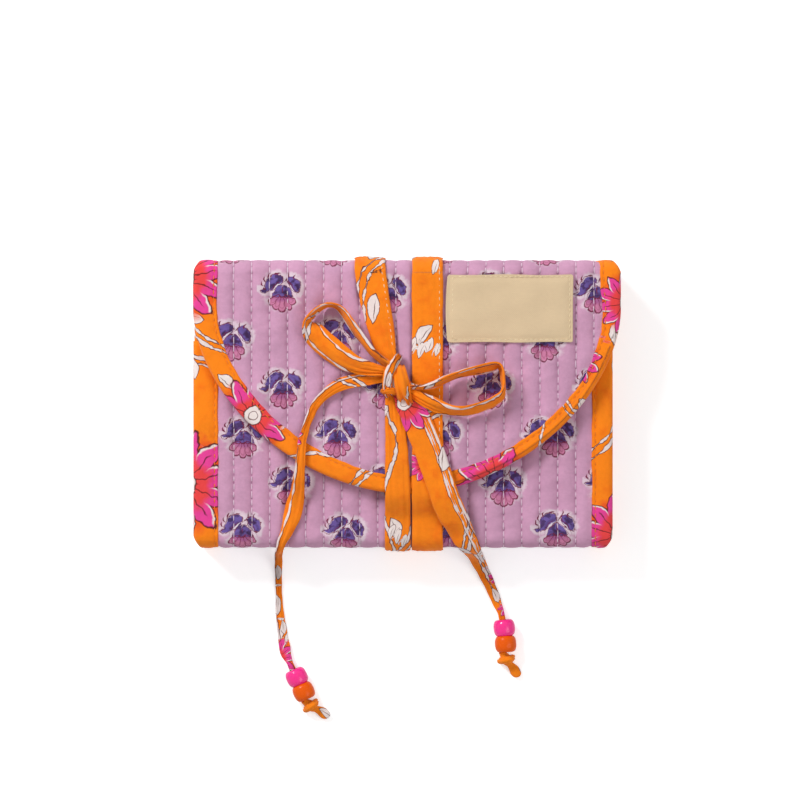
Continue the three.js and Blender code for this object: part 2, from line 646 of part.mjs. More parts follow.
// The front panel, bound along its top edge, with two slip pockets on its inner side
const front = new THREE.Group();
const frontSeam = FRONT_EDGE_Y - FRONT_BINDING - SEAT_GAP;
const frontPath = flatPath(-FLAT_Y + SEAT_GAP, frontSeam, FRONT_TOP, 1);
const frontEdge = box(
  [EDGE_LEFT, EDGE_RIGHT],
  [frontSeam - 1, FRONT_EDGE_Y - BINDING_WALL - SEAT_GAP],
  [FRONT_TOP - EDGE_TOP - EDGE_THICKNESS, FRONT_TOP - EDGE_TOP],
);
const frontPanel = toSolid(sweep(frontPath, CASE_SECTION)).add(toSolid(frontEdge));
add(front, "front_panel", toGeometry(frontPanel), FABRIC);
const frontLining = [FRONT_LINING_UNDER, FRONT_LINING_UNDER + SHEET_THICKNESS];
add(front, "front_lining", box(liningX, [-liningEnd, frontSeam], frontLining), LINING);
const frontSides = flatPath(-FLAT_Y + SEAT_GAP, FRONT_EDGE_Y, FRONT_TOP, 1);
add(front, "front_binding_left", sideBinding(frontSides, -1), ORANGE);
add(front, "front_binding_right", sideBinding(frontSides, 1), ORANGE);
const topEdge = liningX.map((x) => ({
  o: new THREE.Vector3(x, FRONT_EDGE_Y - FRONT_BINDING, FRONT_TOP),
  u: new THREE.Vector3(0, 1, 0),
  v: upZ,
}));
add(front, "front_binding_top", sweep(topEdge, bindingSection(FRONT_BINDING)), ORANGE);
const slipTop = FRONT_LINING_UNDER - SEAT_GAP;
const slipZ = [slipTop - SHEET_THICKNESS, slipTop];
const slipY = [-FOLD_Y + SLIP_POCKET_MARGIN, -FOLD_Y + SLIP_POCKET_MARGIN + SLIP_POCKET_HEIGHT];
const slipMiddle = pocketMiddle;
const halfSplit = SLIP_POCKET_SPLIT / 2;
add(front, "slip_pocket_left", box([pocketX[0], slipMiddle - halfSplit], slipY, slipZ), FABRIC);
add(front, "slip_pocket_right", box([slipMiddle + halfSplit, pocketX[1]], slipY, slipZ), FABRIC);
root.add(front);

// The ribbon tie
const tie = new THREE.Group();
for (const [name, [side, height, x, width, layer]] of Object.entries(TURNS))
  add(tie, name, sweep(bandTurn(side, height, x, layer), bandSection(width)), ORANGE);
for (const [name, run] of Object.entries(BACK_RUNS)) add(tie, name, backRun(run), ORANGE);

// A ribbon lying over the front: each point is x, y, the height of its middle, and its width.
function frontBand(points) {
  const stations = points.map(([x, y, z, width]) => {
    const station = foldStation(y, z, Math.PI / 2, x);
    station.section = bandSection(width);
    return station;
  });
  return sweep(stations);
}
const bandStart = FLAT_Y - SEAT_GAP / 2;
const frontBandZ = FRONT_TOP + SEAT_GAP + RIBBON_THICKNESS / 2;
const overEdge = FLAP_TIP_Y - 1;
const straight = [
  [STRAIGHT_BAND_X, bandStart, BAND_CENTRE_Z, RIBBON_WIDTH],
  [STRAIGHT_BAND_X, overEdge, BAND_CENTRE_Z, RIBBON_WIDTH],
  [STRAIGHT_BAND_X, -bandStart, frontBandZ, RIBBON_WIDTH],
];
add(tie, "tie_front_straight", frontBand(straight), ORANGE);
const upper = [
  [UPPER_BAND_X, bandStart, BAND_CENTRE_Z, RIBBON_WIDTH],
  [KNOT.x - 4.7, KNOT.y + KNOT.ry + 2, BAND_CENTRE_Z, RIBBON_PINCHED],
  [KNOT.x - 2, KNOT.y + 2, BAND_CENTRE_Z, RIBBON_PINCHED],
];
add(tie, "tie_front_upper", frontBand(upper), ORANGE);
const lower = [
  [KNOT.x - 2, KNOT.y - 2, BAND_CENTRE_Z, RIBBON_PINCHED],
  [KNOT.x - 1.5, KNOT.y - KNOT.ry - 4, BAND_CENTRE_Z, RIBBON_PINCHED],
  [LOWER_BAND_X, overEdge, BAND_CENTRE_Z, LOWER_BAND_WIDTH],
  [LOWER_BAND_X, -bandStart, frontBandZ, LOWER_BAND_WIDTH],
];
add(tie, "tie_front_lower", frontBand(lower), ORANGE);

const knotZ = BAND_CENTRE_Z + RIBBON_THICKNESS / 2 + SEAT_GAP + KNOT.rz;
const knot = new THREE.SphereGeometry(1, 14, 8)
  .rotateX(Math.PI / 2)
  .scale(KNOT.rx, KNOT.ry, KNOT.rz)
  .translate(KNOT.x, KNOT.y, knotZ);
add(tie, "tie_knot", knot, ORANGE);

// A bow loop: the ribbon stands on its edge along a closed drop shape in plan, leaving the knot
// and coming back to it. Each point is x, y and the height of the ribbon's lower edge.
function bowLoop(points) {
  const route = new THREE.CatmullRomCurve3(points.map(([x, y, z]) => new THREE.Vector3(x, y, z)));
  const half = RIBBON_THICKNESS / 2;
  const section = [
    [-half, 0],
    [half, 0],
    [half, LOOP_WIDTH],
    [-half, LOOP_WIDTH],
  ];
  const steps = 3 * points.length;
  const stations = [];
  for (let i = 0; i <= steps; i += 1) {
    const tangent = route.getTangent(i / steps).setZ(0).normalize();
    const u = new THREE.Vector3(-tangent.y, tangent.x, 0);
    stations.push({ o: route.getPoint(i / steps), u, v: upZ });
  }
  return sweep(stations, section);
}
const loopLow = SURFACE_Z + RIBBON_THICKNESS + 2 * SEAT_GAP + TAIL_THICKNESS;
const loopFar = SURFACE_Z + 2 * RIBBON_THICKNESS;
const leftLoop = [
  [-11, 14.8, loopLow],
  [-17, 24, loopLow],
  [-23, 34, loopFar],
  [-30, 41.5, loopFar],
  [-38, 43.5, loopFar],
  [-44, 39.5, loopFar],
  [-42.5, 32, loopFar],
  [-36, 25, loopFar],
  [-26, 17, loopLow],
  [-12, 12, loopLow],
];
add(tie, "tie_bow_loop_left", bowLoop(leftLoop), ORANGE);
const rightLoop = [
  [3.5, 11.5, loopLow],
  [14, 12, loopLow],
  [28, 16, loopFar],
  [38, 18.5, loopFar],
  [42.5, 15, loopFar],
  [42, 7.5, loopFar],
  [36, 3, loopFar],
  [24, 0.5, loopFar],
  [14, 2, loopLow],
  [3.5, 7.5, loopLow],
];
add(tie, "tie_bow_loop_right", bowLoop(rightLoop), ORANGE);

// The tails: flat ribbons that lie over the case, drop over its lower fold and run on along the
// surface, through two beads to an end knot. Each point is x, y, z and the ribbon's width.
const onFlap = SURFACE_Z + TAIL_THICKNESS / 2;
const onBand = onFlap + RIBBON_THICKNESS + SEAT_GAP;
const onFront = FRONT_TOP + SEAT_GAP + TAIL_THICKNESS / 2;
const onGround = TAIL_THICKNESS / 2 + 0.2;
const LEFT_TAIL = [
  [-11.5, 9.8, onFlap + 1.2, 9],
  [-19, 10.6, onFlap, 9.5],
  [-27.5, 9.6, onFlap, 9.5],
  [-34.5, 6.6, onFlap, 9.5],
  [-39.8, 1, onFlap, 9.5],
  [-43.4, -7, onFlap, 10],
  [-46, -15.5, onFlap, 10],
  [-48, -24.9, onFlap, 10],
  [-49.2, -30.5, onFlap - 1, 10],
  [-50.2, -36, onFront + 1.2, 10],
  [-51.6, -43, onFront, 10],
  [-53.6, -51.5, onFront, 10],
  [-55.3, -58, onFront + 0.2, 9.5],
  [-56.2, -61.7, onFront - 0.8, 9.2],
  [-56.8, -64.4, onFront - 3.3, 9],
  [-57.1, -65.6, onFront - 7, 8.7],
  [-57.2, -66.4, onFront - 12, 8.4],
  [-57.3, -68, onFront - 18, 8.1],
  [-57.4, -71.4, onGround + 2.6, 7.8],
  [-57.4, -76, onGround + 0.5, 7.5],
  [-57.3, -83.5, onGround, 7],
  [-56.9, -92.5, onGround, 6.5],
  [-55.7, -102.5, onGround, 6],
  [-54.2, -110.8, onGround + 1.2, 5],
  [-52.2, -116, BEAD_RADIUS, THREADED_WIDTH],
  [-49.3, -122, BEAD_RADIUS, THREADED_WIDTH],
  [-46.2, -128.4, BEAD_RADIUS, THREADED_WIDTH],
  [-44.5, -131.8, BEAD_RADIUS - 0.6, THREADED_WIDTH],
];
const RIGHT_TAIL = [
  [0.5, 3, onBand + 0.4, 11],
  [5.2, -8, onBand, 13],
  [9.6, -20, onBand, 13.3],
  [13.4, -31, onBand, 13],
  [16.6, -40.5, onBand, 13],
  [19.6, -48, onFront + 5.8, 12.6],
  [22.4, -53, onFront + 3.5, 12.2],
  [24.8, -58, onFront + 0.3, 11.6],
  [26.8, -61.7, onFront - 0.8, 11],
  [28.3, -64.5, onFront - 3.3, 10.4],
  [29.2, -65.8, onFront - 7, 9.8],
  [30, -67, onFront - 12, 9.2],
  [31.2, -69, onFront - 18, 8.6],
  [32.9, -72.3, onGround + 3, 8],
  [35.6, -77.8, onGround + 0.5, 7.2],
  [38.6, -84.5, onGround, 6.2],
  [40.6, -89.5, onGround + 1.4, 5],
  [42.2, -94.2, BEAD_RADIUS, THREADED_WIDTH],
  [43.4, -100.3, BEAD_RADIUS, THREADED_WIDTH],
  [44.1, -107.4, BEAD_RADIUS, THREADED_WIDTH],
  [44.3, -110.2, BEAD_RADIUS - 0.6, THREADED_WIDTH],
];

function tail(points) {
  const stations = points.map(([x, y, z, width], i) => {
    const before = points[Math.max(i - 1, 0)];
    const after = points[Math.min(i + 1, points.length - 1)];
    const along = new THREE.Vector3(after[0] - before[0], after[1] - before[1], after[2] - before[2]);
    along.normalize();
    const onFold = y < -FLAT_Y + FOLD_RADIUS && y > -FOLD_Y - 2 * FOLD_RADIUS;
    const u = onFold ? alongX.clone().negate() : new THREE.Vector3().crossVectors(along, upZ).normalize();
    const thick = Math.min(TAIL_THICKNESS, width);
    const section = [];
    for (let k = 0; k < 8; k += 1) {
      const angle = ((k + 0.5) / 8) * 2 * Math.PI;
      section.push([(width / 2) * Math.cos(angle) / Math.cos(Math.PI / 8), (thick / 2) * Math.sin(angle)]);
    }
    const v = new THREE.Vector3().crossVectors(u, along).normalize();
    return { o: new THREE.Vector3(x, y, z), u, v, section };
  });
  return sweep(stations);
}

// A barrel bead threaded on a tail, its hole along the ribbon.
function bead(from, to) {
  const round = BEAD_LENGTH * 0.24;
  const profile = [
    [BEAD_HOLE, -BEAD_LENGTH / 2],
    [BEAD_RADIUS - round, -BEAD_LENGTH / 2],
    [BEAD_RADIUS, -BEAD_LENGTH / 2 + round],
    [BEAD_RADIUS, BEAD_LENGTH / 2 - round],
    [BEAD_RADIUS - round, BEAD_LENGTH / 2],
    [BEAD_HOLE, BEAD_LENGTH / 2],
    [BEAD_HOLE, -BEAD_LENGTH / 2],
  ].map(([r, h]) => new THREE.Vector2(r, h));
  const angle = Math.atan2(to[1] - from[1], to[0] - from[0]) - Math.PI / 2;
  return new THREE.LatheGeometry(profile, 14)
    .rotateZ(angle)
    .translate((from[0] + to[0]) / 2, (from[1] + to[1]) / 2, BEAD_RADIUS);
}

function endKnot(x, y, angle) {
  const lump = new THREE.SphereGeometry(END_KNOT_RADIUS, 10, 6);
  const tip = box(
    [0, END_KNOT_RADIUS + 5],
    [-RIBBON_PINCHED / 3, RIBBON_PINCHED / 3],
    [-END_KNOT_RADIUS * 0.5, -END_KNOT_RADIUS * 0.5 + TAIL_THICKNESS],
  );
  const joined = toGeometry(toSolid(lump).add(toSolid(tip)));
  return joined.rotateZ(angle).translate(x, y, END_KNOT_RADIUS);
}

add(tie, "tie_tail_left", tail(LEFT_TAIL), ORANGE);
add(tie, "tie_tail_right", tail(RIGHT_TAIL), ORANGE);
add(tie, "bead_left_pink", bead([-50.6, -119], [-47.8, -125]), PINK_BEAD);
add(tie, "bead_left_orange", bead([-47.4, -125.6], [-44.8, -131.4]), ORANGE_BEAD);
add(tie, "bead_right_pink", bead([43.2, -96.8], [43.8, -103.2]), PINK_BEAD);
add(tie, "bead_right_orange", bead([43.9, -103.9], [44.3, -110.4]), ORANGE_BEAD);
add(tie, "tie_end_knot_left", endKnot(-42.9, -134.8, -0.6), ORANGE);
add(tie, "tie_end_knot_right", endKnot(44.5, -114.1, -1), ORANGE);
root.add(tie);

export default root;
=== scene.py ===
"""A quilted cotton jewelry organizer, folded in three and tied with a printed ribbon in a bow.

Lengths in this file are millimetres, and a finished mesh is scaled to metres.
"""

import json
import logging
import math
from collections.abc import Callable, Sequence
from dataclasses import astuple, dataclass
from enum import Enum

import bmesh
import bpy
import numpy as np
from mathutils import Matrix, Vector

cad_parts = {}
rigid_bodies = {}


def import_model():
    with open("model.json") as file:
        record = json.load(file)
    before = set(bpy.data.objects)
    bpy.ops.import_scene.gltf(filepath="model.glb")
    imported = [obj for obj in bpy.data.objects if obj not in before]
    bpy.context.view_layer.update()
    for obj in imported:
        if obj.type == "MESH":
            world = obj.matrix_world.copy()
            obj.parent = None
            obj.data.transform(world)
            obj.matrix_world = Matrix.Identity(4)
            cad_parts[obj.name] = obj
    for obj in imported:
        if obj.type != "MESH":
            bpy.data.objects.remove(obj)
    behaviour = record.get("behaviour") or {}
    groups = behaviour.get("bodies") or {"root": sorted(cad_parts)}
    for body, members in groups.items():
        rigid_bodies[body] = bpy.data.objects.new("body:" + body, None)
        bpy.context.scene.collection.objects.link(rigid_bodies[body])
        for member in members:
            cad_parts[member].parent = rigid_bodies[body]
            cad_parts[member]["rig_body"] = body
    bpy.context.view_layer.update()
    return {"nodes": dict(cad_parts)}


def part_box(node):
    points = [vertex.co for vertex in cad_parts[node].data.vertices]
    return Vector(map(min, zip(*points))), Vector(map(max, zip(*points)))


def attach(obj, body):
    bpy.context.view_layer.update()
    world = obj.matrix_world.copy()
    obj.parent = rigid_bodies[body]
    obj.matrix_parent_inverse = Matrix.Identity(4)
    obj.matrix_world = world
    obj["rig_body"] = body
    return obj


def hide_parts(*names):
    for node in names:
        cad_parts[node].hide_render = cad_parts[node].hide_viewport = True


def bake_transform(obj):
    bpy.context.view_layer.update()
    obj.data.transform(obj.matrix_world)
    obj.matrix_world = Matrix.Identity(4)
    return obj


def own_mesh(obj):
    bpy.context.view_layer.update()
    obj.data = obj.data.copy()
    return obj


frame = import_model()
MM = 0.001
QUARTER = math.pi / 2
INK_EDGE = 0.13
LINE_HALF = 0.17
Array = np.ndarray
Point = tuple[float, float, float]
Pair = tuple[float, float]
Rows = Sequence[Sequence[float]]
Colour = tuple[float, float, float]
log = logging.getLogger("organizer")


def smooth_share(value: Array | float, low: float, high: float) -> Array:
    """The share from 0 to 1 of the way from low to high, eased at both ends."""
    share = np.clip((np.asarray(value, float) - low) / (high - low), 0, 1)
    return share * share * (3 - 2 * share)


def ripple(a: Array, b: Array, wavelength: float, seed: int, waves: int = 6) -> Array:
    """An uneven, rolling value of about -1 to 1 over two coordinates.

    Args:
        a: The first coordinate.
        b: The second coordinate, of the same shape.
        wavelength: The mean distance between crests.
        seed: Which pattern.
        waves: How many plain waves are added up.

    Returns:
        The value at each place.
    """
    chance = np.random.default_rng(seed)
    total = np.zeros(np.broadcast(a, b).shape)
    for _ in range(waves):
        turn, phase = chance.uniform(0, math.tau, 2)
        pace = math.tau / (wavelength * chance.uniform(0.7, 1.5))
        total += np.sin((a * math.cos(turn) + b * math.sin(turn)) * pace + phase)
    return total * 1.5 / waves


def corner_of(node: str) -> tuple[Array, Array]:
    """The lowest and highest corner of a node of the frame, in millimetres."""
    low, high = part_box(node)
    return np.array(low) / MM, np.array(high) / MM


def unit(vectors: Array) -> Array:
    """The same directions with length 1."""
    return vectors / np.maximum(np.linalg.norm(vectors, axis=-1, keepdims=True), 1e-9)


def same(direction: Sequence[float], count: int) -> Array:
    """One direction, once for each place."""
    return np.tile(np.array(direction, float), (count, 1))


def strung(at: Array, far: Array, values: Array) -> Array:
    """The values of a line's rows at some distances along it, where far has the rows' distances."""
    return np.stack([np.interp(at, far, column) for column in values.T], -1)


def spline(points: Rows, spacing: float) -> Array:
    """A smooth curve through points of any number of values, of which the first three are a place.

    Args:
        points: The points that the curve passes through.
        spacing: The distance between the points of the result.

    Returns:
        One row for each step along the curve.
    """
    given = np.array(points, float)
    padded = np.vstack([2 * given[0] - given[1], given, 2 * given[-1] - given[-2]])
    rows = []
    for i in range(len(given) - 1):
        p0, p1, p2, p3 = padded[i : i + 4]
        count = max(2, math.ceil(np.linalg.norm(p2[:3] - p1[:3]) / spacing))
        for t in np.arange(count) / count:
            square = 2 * p1 + (p2 - p0) * t + (2 * p0 - 5 * p1 + 4 * p2 - p3) * t**2
            rows.append(0.5 * (square + (3 * p1 - p0 - 3 * p2 + p3) * t**3))
    return np.array([*rows, given[-1]])


def run_length(points: Array) -> Array:
    """The distance travelled at each point of a route."""
    steps = np.linalg.norm(np.diff(points[:, :3], axis=0), axis=1)
    return np.concatenate([[0], np.cumsum(steps)])


class Making:
    """A mesh in the making, with its cloth places and its finishes."""

    def __init__(self) -> None:
        """Starts with no points."""
        self.points: list[Array] = []
        self.cloth: list[Array] = []
        self.faces: list[list[int]] = []
        self.finishes: list[int] = []
        self.count = 0

    def add(self, points: Array, faces: list[list[int]], cloth: Array, finish: int = 0) -> None:
        """Adds points and faces.

        Args:
            points: Places, one row each.
            faces: Lists of numbers of rows in points.
            cloth: The place of each point on the flat cloth, and more values that a print may read.
            finish: The number of the faces' material.
        """
        self.points.append(points.reshape(-1, 3))
        flat = cloth.reshape(len(self.points[-1]), -1)
        self.cloth.append(np.pad(flat, ((0, 0), (0, 6 - flat.shape[1]))))
        self.faces += [[self.count + i for i in face] for face in faces]
        self.finishes += [finish] * len(faces)
        self.count += len(self.points[-1])

    def tube(self, grid: Array, cloth: Array, finish: int = 0, closed: bool = False) -> None:
        """Adds rings of points, joined to their neighbours, with a cap at each end.

        Args:
            grid: Rings by points by 3.
            cloth: The cloth places, of the same shape.
            finish: The number of the material.
            closed: Whether the last ring joins the first one.
        """
        rings, across = grid.shape[:2]
        faces = []
        for i in range(rings if closed else rings - 1):
            here, there = i * across, ((i + 1) % rings) * across
            for k in range(across):
                after = (k + 1) % across
                faces.append([here + k, here + after, there + after, there + k])
        if not closed:
            faces.append(list(range(across))[::-1])
            faces.append([(rings - 1) * across + k for k in range(across)])
        self.add(grid, faces, cloth, finish)

    def layers(self, outer: Array, inner: Array, cloth: Array, keep: Array, under: int = 0) -> None:
        """Adds a thick sheet: an outer and an inner face, and the rim between them.

        Args:
            outer: Rows by columns by 3.
            inner: The same, for the inner face.
            cloth: The cloth places.
            keep: Which squares of the grid are there, rows - 1 by columns - 1.
            under: The number of the inner face's material.
        """
        rows, columns = outer.shape[:2]
        place = np.arange(rows * columns).reshape(rows, columns)
        squares = np.stack([place[:-1, :-1], place[:-1, 1:], place[1:, 1:], place[1:, :-1]], -1)[keep]
        used = np.unique(squares)
        renumber = np.full(rows * columns, -1)
        renumber[used] = np.arange(len(used))
        squares = renumber[squares].tolist()
        ends = {(a, b) for s in squares for a, b in zip(s, s[1:] + s[:1])}
        rim = [[b, a, a + len(used), b + len(used)] for a, b in ends if (b, a) not in ends]
        flat = [layer.reshape(-1, 3)[used] for layer in (outer, inner)]
        twice = np.vstack([cloth.reshape(rows * columns, -1)[used]] * 2)
        base = self.count + len(used)
        self.add(np.vstack(flat), squares + sorted(rim), twice)
        self.faces += [[base + i for i in s[::-1]] for s in squares]
        self.finishes += [under] * len(squares)

    def build(self, name: str, *finishes: str) -> bpy.types.Object:
        """Makes the object.

        Args:
            name: The piece's name.
            *finishes: Its materials, in the order of the finishes' numbers.

        Returns:
            The object, in metres, with smooth faces that look outwards.
        """
        mesh = bpy.data.meshes.new(name)
        mesh.from_pydata((np.vstack(self.points) * MM).tolist(), [], self.faces)
        for finish in finishes:
            mesh.materials.append(MATERIALS[finish])
        mesh.polygons.foreach_set("material_index", self.finishes)
        cloth = np.vstack(self.cloth)
        store(mesh, "cloth", cloth[:, :3])
        store(mesh, "detail", cloth[:, 3:])
        editing = bmesh.new()
        editing.from_mesh(mesh)
        bmesh.ops.recalc_face_normals(editing, faces=editing.faces)
        editing.to_mesh(mesh)
        editing.free()
        mesh.shade_smooth()
        return show(name, mesh)


def store(mesh: bpy.types.Mesh, key: str, places: Array) -> None:
    """Keeps a place for each point of a mesh, for its materials to read."""
    stored = mesh.attributes.new(key, "FLOAT_VECTOR", "POINT")
    stored.data.foreach_set("vector", places.astype(np.float32).ravel())


def show(name: str, data: bpy.types.ID) -> bpy.types.Object:
    """Puts an object with that mesh, lamp or camera into the scene."""
    made = bpy.data.objects.new(name, data)
    bpy.context.scene.collection.objects.link(made)
    return made


def settle(piece: bpy.types.Object, nodes: Sequence[str], body: str = "") -> None:
    """Lets a piece stand for its nodes and ride its body, and logs it.

    Args:
        piece: The piece.
        nodes: The CAD nodes that it stands for.
        body: The body that it rides, if one is given.
    """
    if body:
        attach(piece, body)
    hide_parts(*nodes)
    log.info("%s: %d faces", piece.name, len(piece.data.polygons))


def arithmetic(operation: str, flipped: bool = False) -> Callable[["Flow", "Feed"], "Flow"]:
    """An operator of two values, the second of which comes first where it is flipped."""

    def step(flow: "Flow", other: "Feed") -> "Flow":
        """One step of arithmetic."""
        values = (other, flow) if flipped else (flow, other)
        return flow.graph.math(operation, *values)

    return step


class Flow:
    """A value in a shader that takes part in plain arithmetic."""

    def __init__(self, graph: "Graph", socket: bpy.types.NodeSocket) -> None:
        """Wraps a node's output."""
        self.graph = graph
        self.socket = socket

    def __abs__(self) -> "Flow":
        """The size without its sign."""
        return self.graph.math("ABSOLUTE", self)

    __add__ = __radd__ = arithmetic("ADD")
    __mul__ = __rmul__ = arithmetic("MULTIPLY")
    __sub__ = arithmetic("SUBTRACT")
    __rsub__ = arithmetic("SUBTRACT", flipped=True)
    __truediv__ = arithmetic("DIVIDE")


Feed = Flow | float | Colour


def paint(red: int, green: int, blue: int) -> Colour:
    """A colour as the eye sees it, from 0 to 255 a part, as linear light."""
    parts = [c / 255 for c in (red, green, blue)]
    return tuple(c / 12.92 if c <= 0.04045 else ((c + 0.055) / 1.055) ** 2.4 for c in parts)


class Graph:
    """Builds a shader's nodes."""

    def __init__(self, tree: bpy.types.NodeTree) -> None:
        """Takes the node tree to build in."""
        self.tree = tree

    def feed(self, socket: bpy.types.NodeSocket, value: Feed) -> None:
        """Links a flow to a socket, or sets the socket's own value."""
        if isinstance(value, Flow):
            self.tree.links.new(value.socket, socket)
        elif isinstance(value, tuple) and socket.type == "RGBA":
            socket.default_value = (*value, 1.0)
        else:
            socket.default_value = value

    def node(self, kind: str, feeds: dict[str | int, Feed], **settings: object) -> bpy.types.Node:
        """Adds a node.

        Args:
            kind: Its type without the words ShaderNode.
            feeds: What goes into its sockets, by name or number.
            **settings: Its own settings.

        Returns:
            The node.
        """
        made = self.tree.nodes.new("ShaderNode" + kind)
        for key, value in settings.items():
            setattr(made, key, value)
        for key, value in feeds.items():
            self.feed(made.inputs[key], value)
        return made

    def out(self, node: bpy.types.Node, key: str | int = 0) -> Flow:
        """A node's output as a flow."""
        return Flow(self, node.outputs[key])

    def math(self, operation: str, *values: Feed) -> Flow:
        """One step of arithmetic."""
        return self.out(self.node("Math", dict(enumerate(values)), operation=operation))

    def ease(self, value: Flow, low: float, high: float) -> Flow:
        """The eased share of the way from low to high, which may be the smaller one."""
        feeds = {0: value, 1: low, 2: high}
        return self.out(self.node("MapRange", feeds, interpolation_type="SMOOTHSTEP"))

    def inside(self, gap: Flow) -> Flow:
        """The share of ink inside a shape, from the distance to its outline."""
        return self.ease(gap, INK_EDGE, -INK_EDGE)

    def drawn(self, gap: Flow, half: float = LINE_HALF) -> Flow:
        """The share of ink on the line round a shape."""
        return self.inside(abs(gap) - half)

    def length(self, x: Flow, y: Flow) -> Flow:
        """The distance of a place from the middle."""
        return self.math("SQRT", x * x + y * y)

    def mix(self, low: Feed, high: Feed, share: Feed, blend: str = "MIX") -> Flow:
        """A colour between two others."""
        feeds = {0: share, 6: low, 7: high}
        return self.out(self.node("Mix", feeds, data_type="RGBA", blend_type=blend), 2)

    def vector(self, x: Feed, y: Feed, z: Feed = 0.0) -> Flow:
        """A vector of three values."""
        return self.out(self.node("CombineXYZ", {0: x, 1: y, 2: z}))

    def split(self, vector: Flow) -> tuple[Flow, Flow, Flow]:
        """A vector's three values."""
        node = self.node("SeparateXYZ", {0: vector})
        return self.out(node, 0), self.out(node, 1), self.out(node, 2)

    def noise(self, place: Flow, size: float, detail: float = 2.0) -> Flow:
        """Uneven values round 0.5, with spots of a size in the units of place."""
        feeds = {"Vector": place, "Scale": 1 / size, "Detail": detail}
        return self.out(self.node("TexNoise", feeds))

    def scatter(self, x: Flow, y: Flow) -> tuple[Flow, Flow, Flow]:
        """Three values from -0.5 to 0.5 that are the same all over one cell."""
        node = self.node("TexWhiteNoise", {0: self.vector(x, y)}, noise_dimensions="3D")
        red, green, blue = self.split(self.out(node, "Color"))
        return red - 0.5, green - 0.5, blue - 0.5

    def place(self, key: str) -> Flow:
        """A place stored in the mesh, in millimetres: on the flat cloth, or of a flower or a seam."""
        return self.out(self.node("Attribute", {}, attribute_name=key), "Vector")

    def bump(self, height: Flow, strength: float) -> Flow:
        """The normal of a surface with a height in millimetres."""
        feeds = {"Height": height, "Distance": MM, "Strength": strength}
        return self.out(self.node("Bump", feeds), "Normal")

    def use(self, group: bpy.types.NodeTree, **feeds: Feed) -> dict[str, Flow]:
        """Places a node group with its inputs, and returns its outputs."""
        placed = self.node("Group", {}, node_tree=group)
        for key, value in feeds.items():
            self.feed(placed.inputs[key], value)
        return {output.name: Flow(self, output) for output in placed.outputs}

    def shade(self, feeds: dict[str, Feed]) -> None:
        """Feeds the material's own shader."""
        shader = self.tree.nodes["Principled BSDF"]
        for key, value in feeds.items():
            self.feed(shader.inputs[key], value)


def make_group(
    name: str,
    inputs: dict[str, float | Colour | None],
    outputs: dict[str, str],
    fill: Callable[[Graph, dict[str, Flow]], dict[str, Flow]],
) -> bpy.types.NodeTree:
    """Makes a shader node group.

    Args:
        name: The group's name.
        inputs: Each input's first value: a number, a colour, or None for a vector.
        outputs: Each output's kind: Float or Color.
        fill: Builds the nodes from the inputs' flows and returns the outputs' flows.

    Returns:
        The group.
    """
    tree = bpy.data.node_groups.new(name, "ShaderNodeTree")
    for key, value in inputs.items():
        kind = {float: "Float", tuple: "Color", type(None): "Vector"}[type(value)]
        made = tree.interface.new_socket(key, in_out="INPUT", socket_type="NodeSocket" + kind)
        if value is not None:
            made.default_value = (*value, 1.0) if isinstance(value, tuple) else value
    for key, kind in outputs.items():
        tree.interface.new_socket(key, in_out="OUTPUT", socket_type="NodeSocket" + kind)
    graph = Graph(tree)
    start = tree.nodes.new("NodeGroupInput")
    end = tree.nodes.new("NodeGroupOutput")
    made = fill(graph, {key: Flow(graph, start.outputs[key]) for key in inputs})
    for key, flow in made.items():
        tree.links.new(flow.socket, end.inputs[key])
    return tree


@dataclass(frozen=True)
class Petal:
    """One petal or leaf of a print: where it lies, how long and wide it is, and how it bends."""

    x: float
    y: float
    turn: float
    reach: float
    half: float
    bend: float = 0.0
    taper: float = 0.0
    point: float = 0.0

    def feeds(self) -> dict[str, float]:
        """The inputs of the petal group."""
        names = ("X", "Y", "Turn", "Reach", "Half", "Bend", "Taper", "Point")
        return dict(zip(names, astuple(self)))


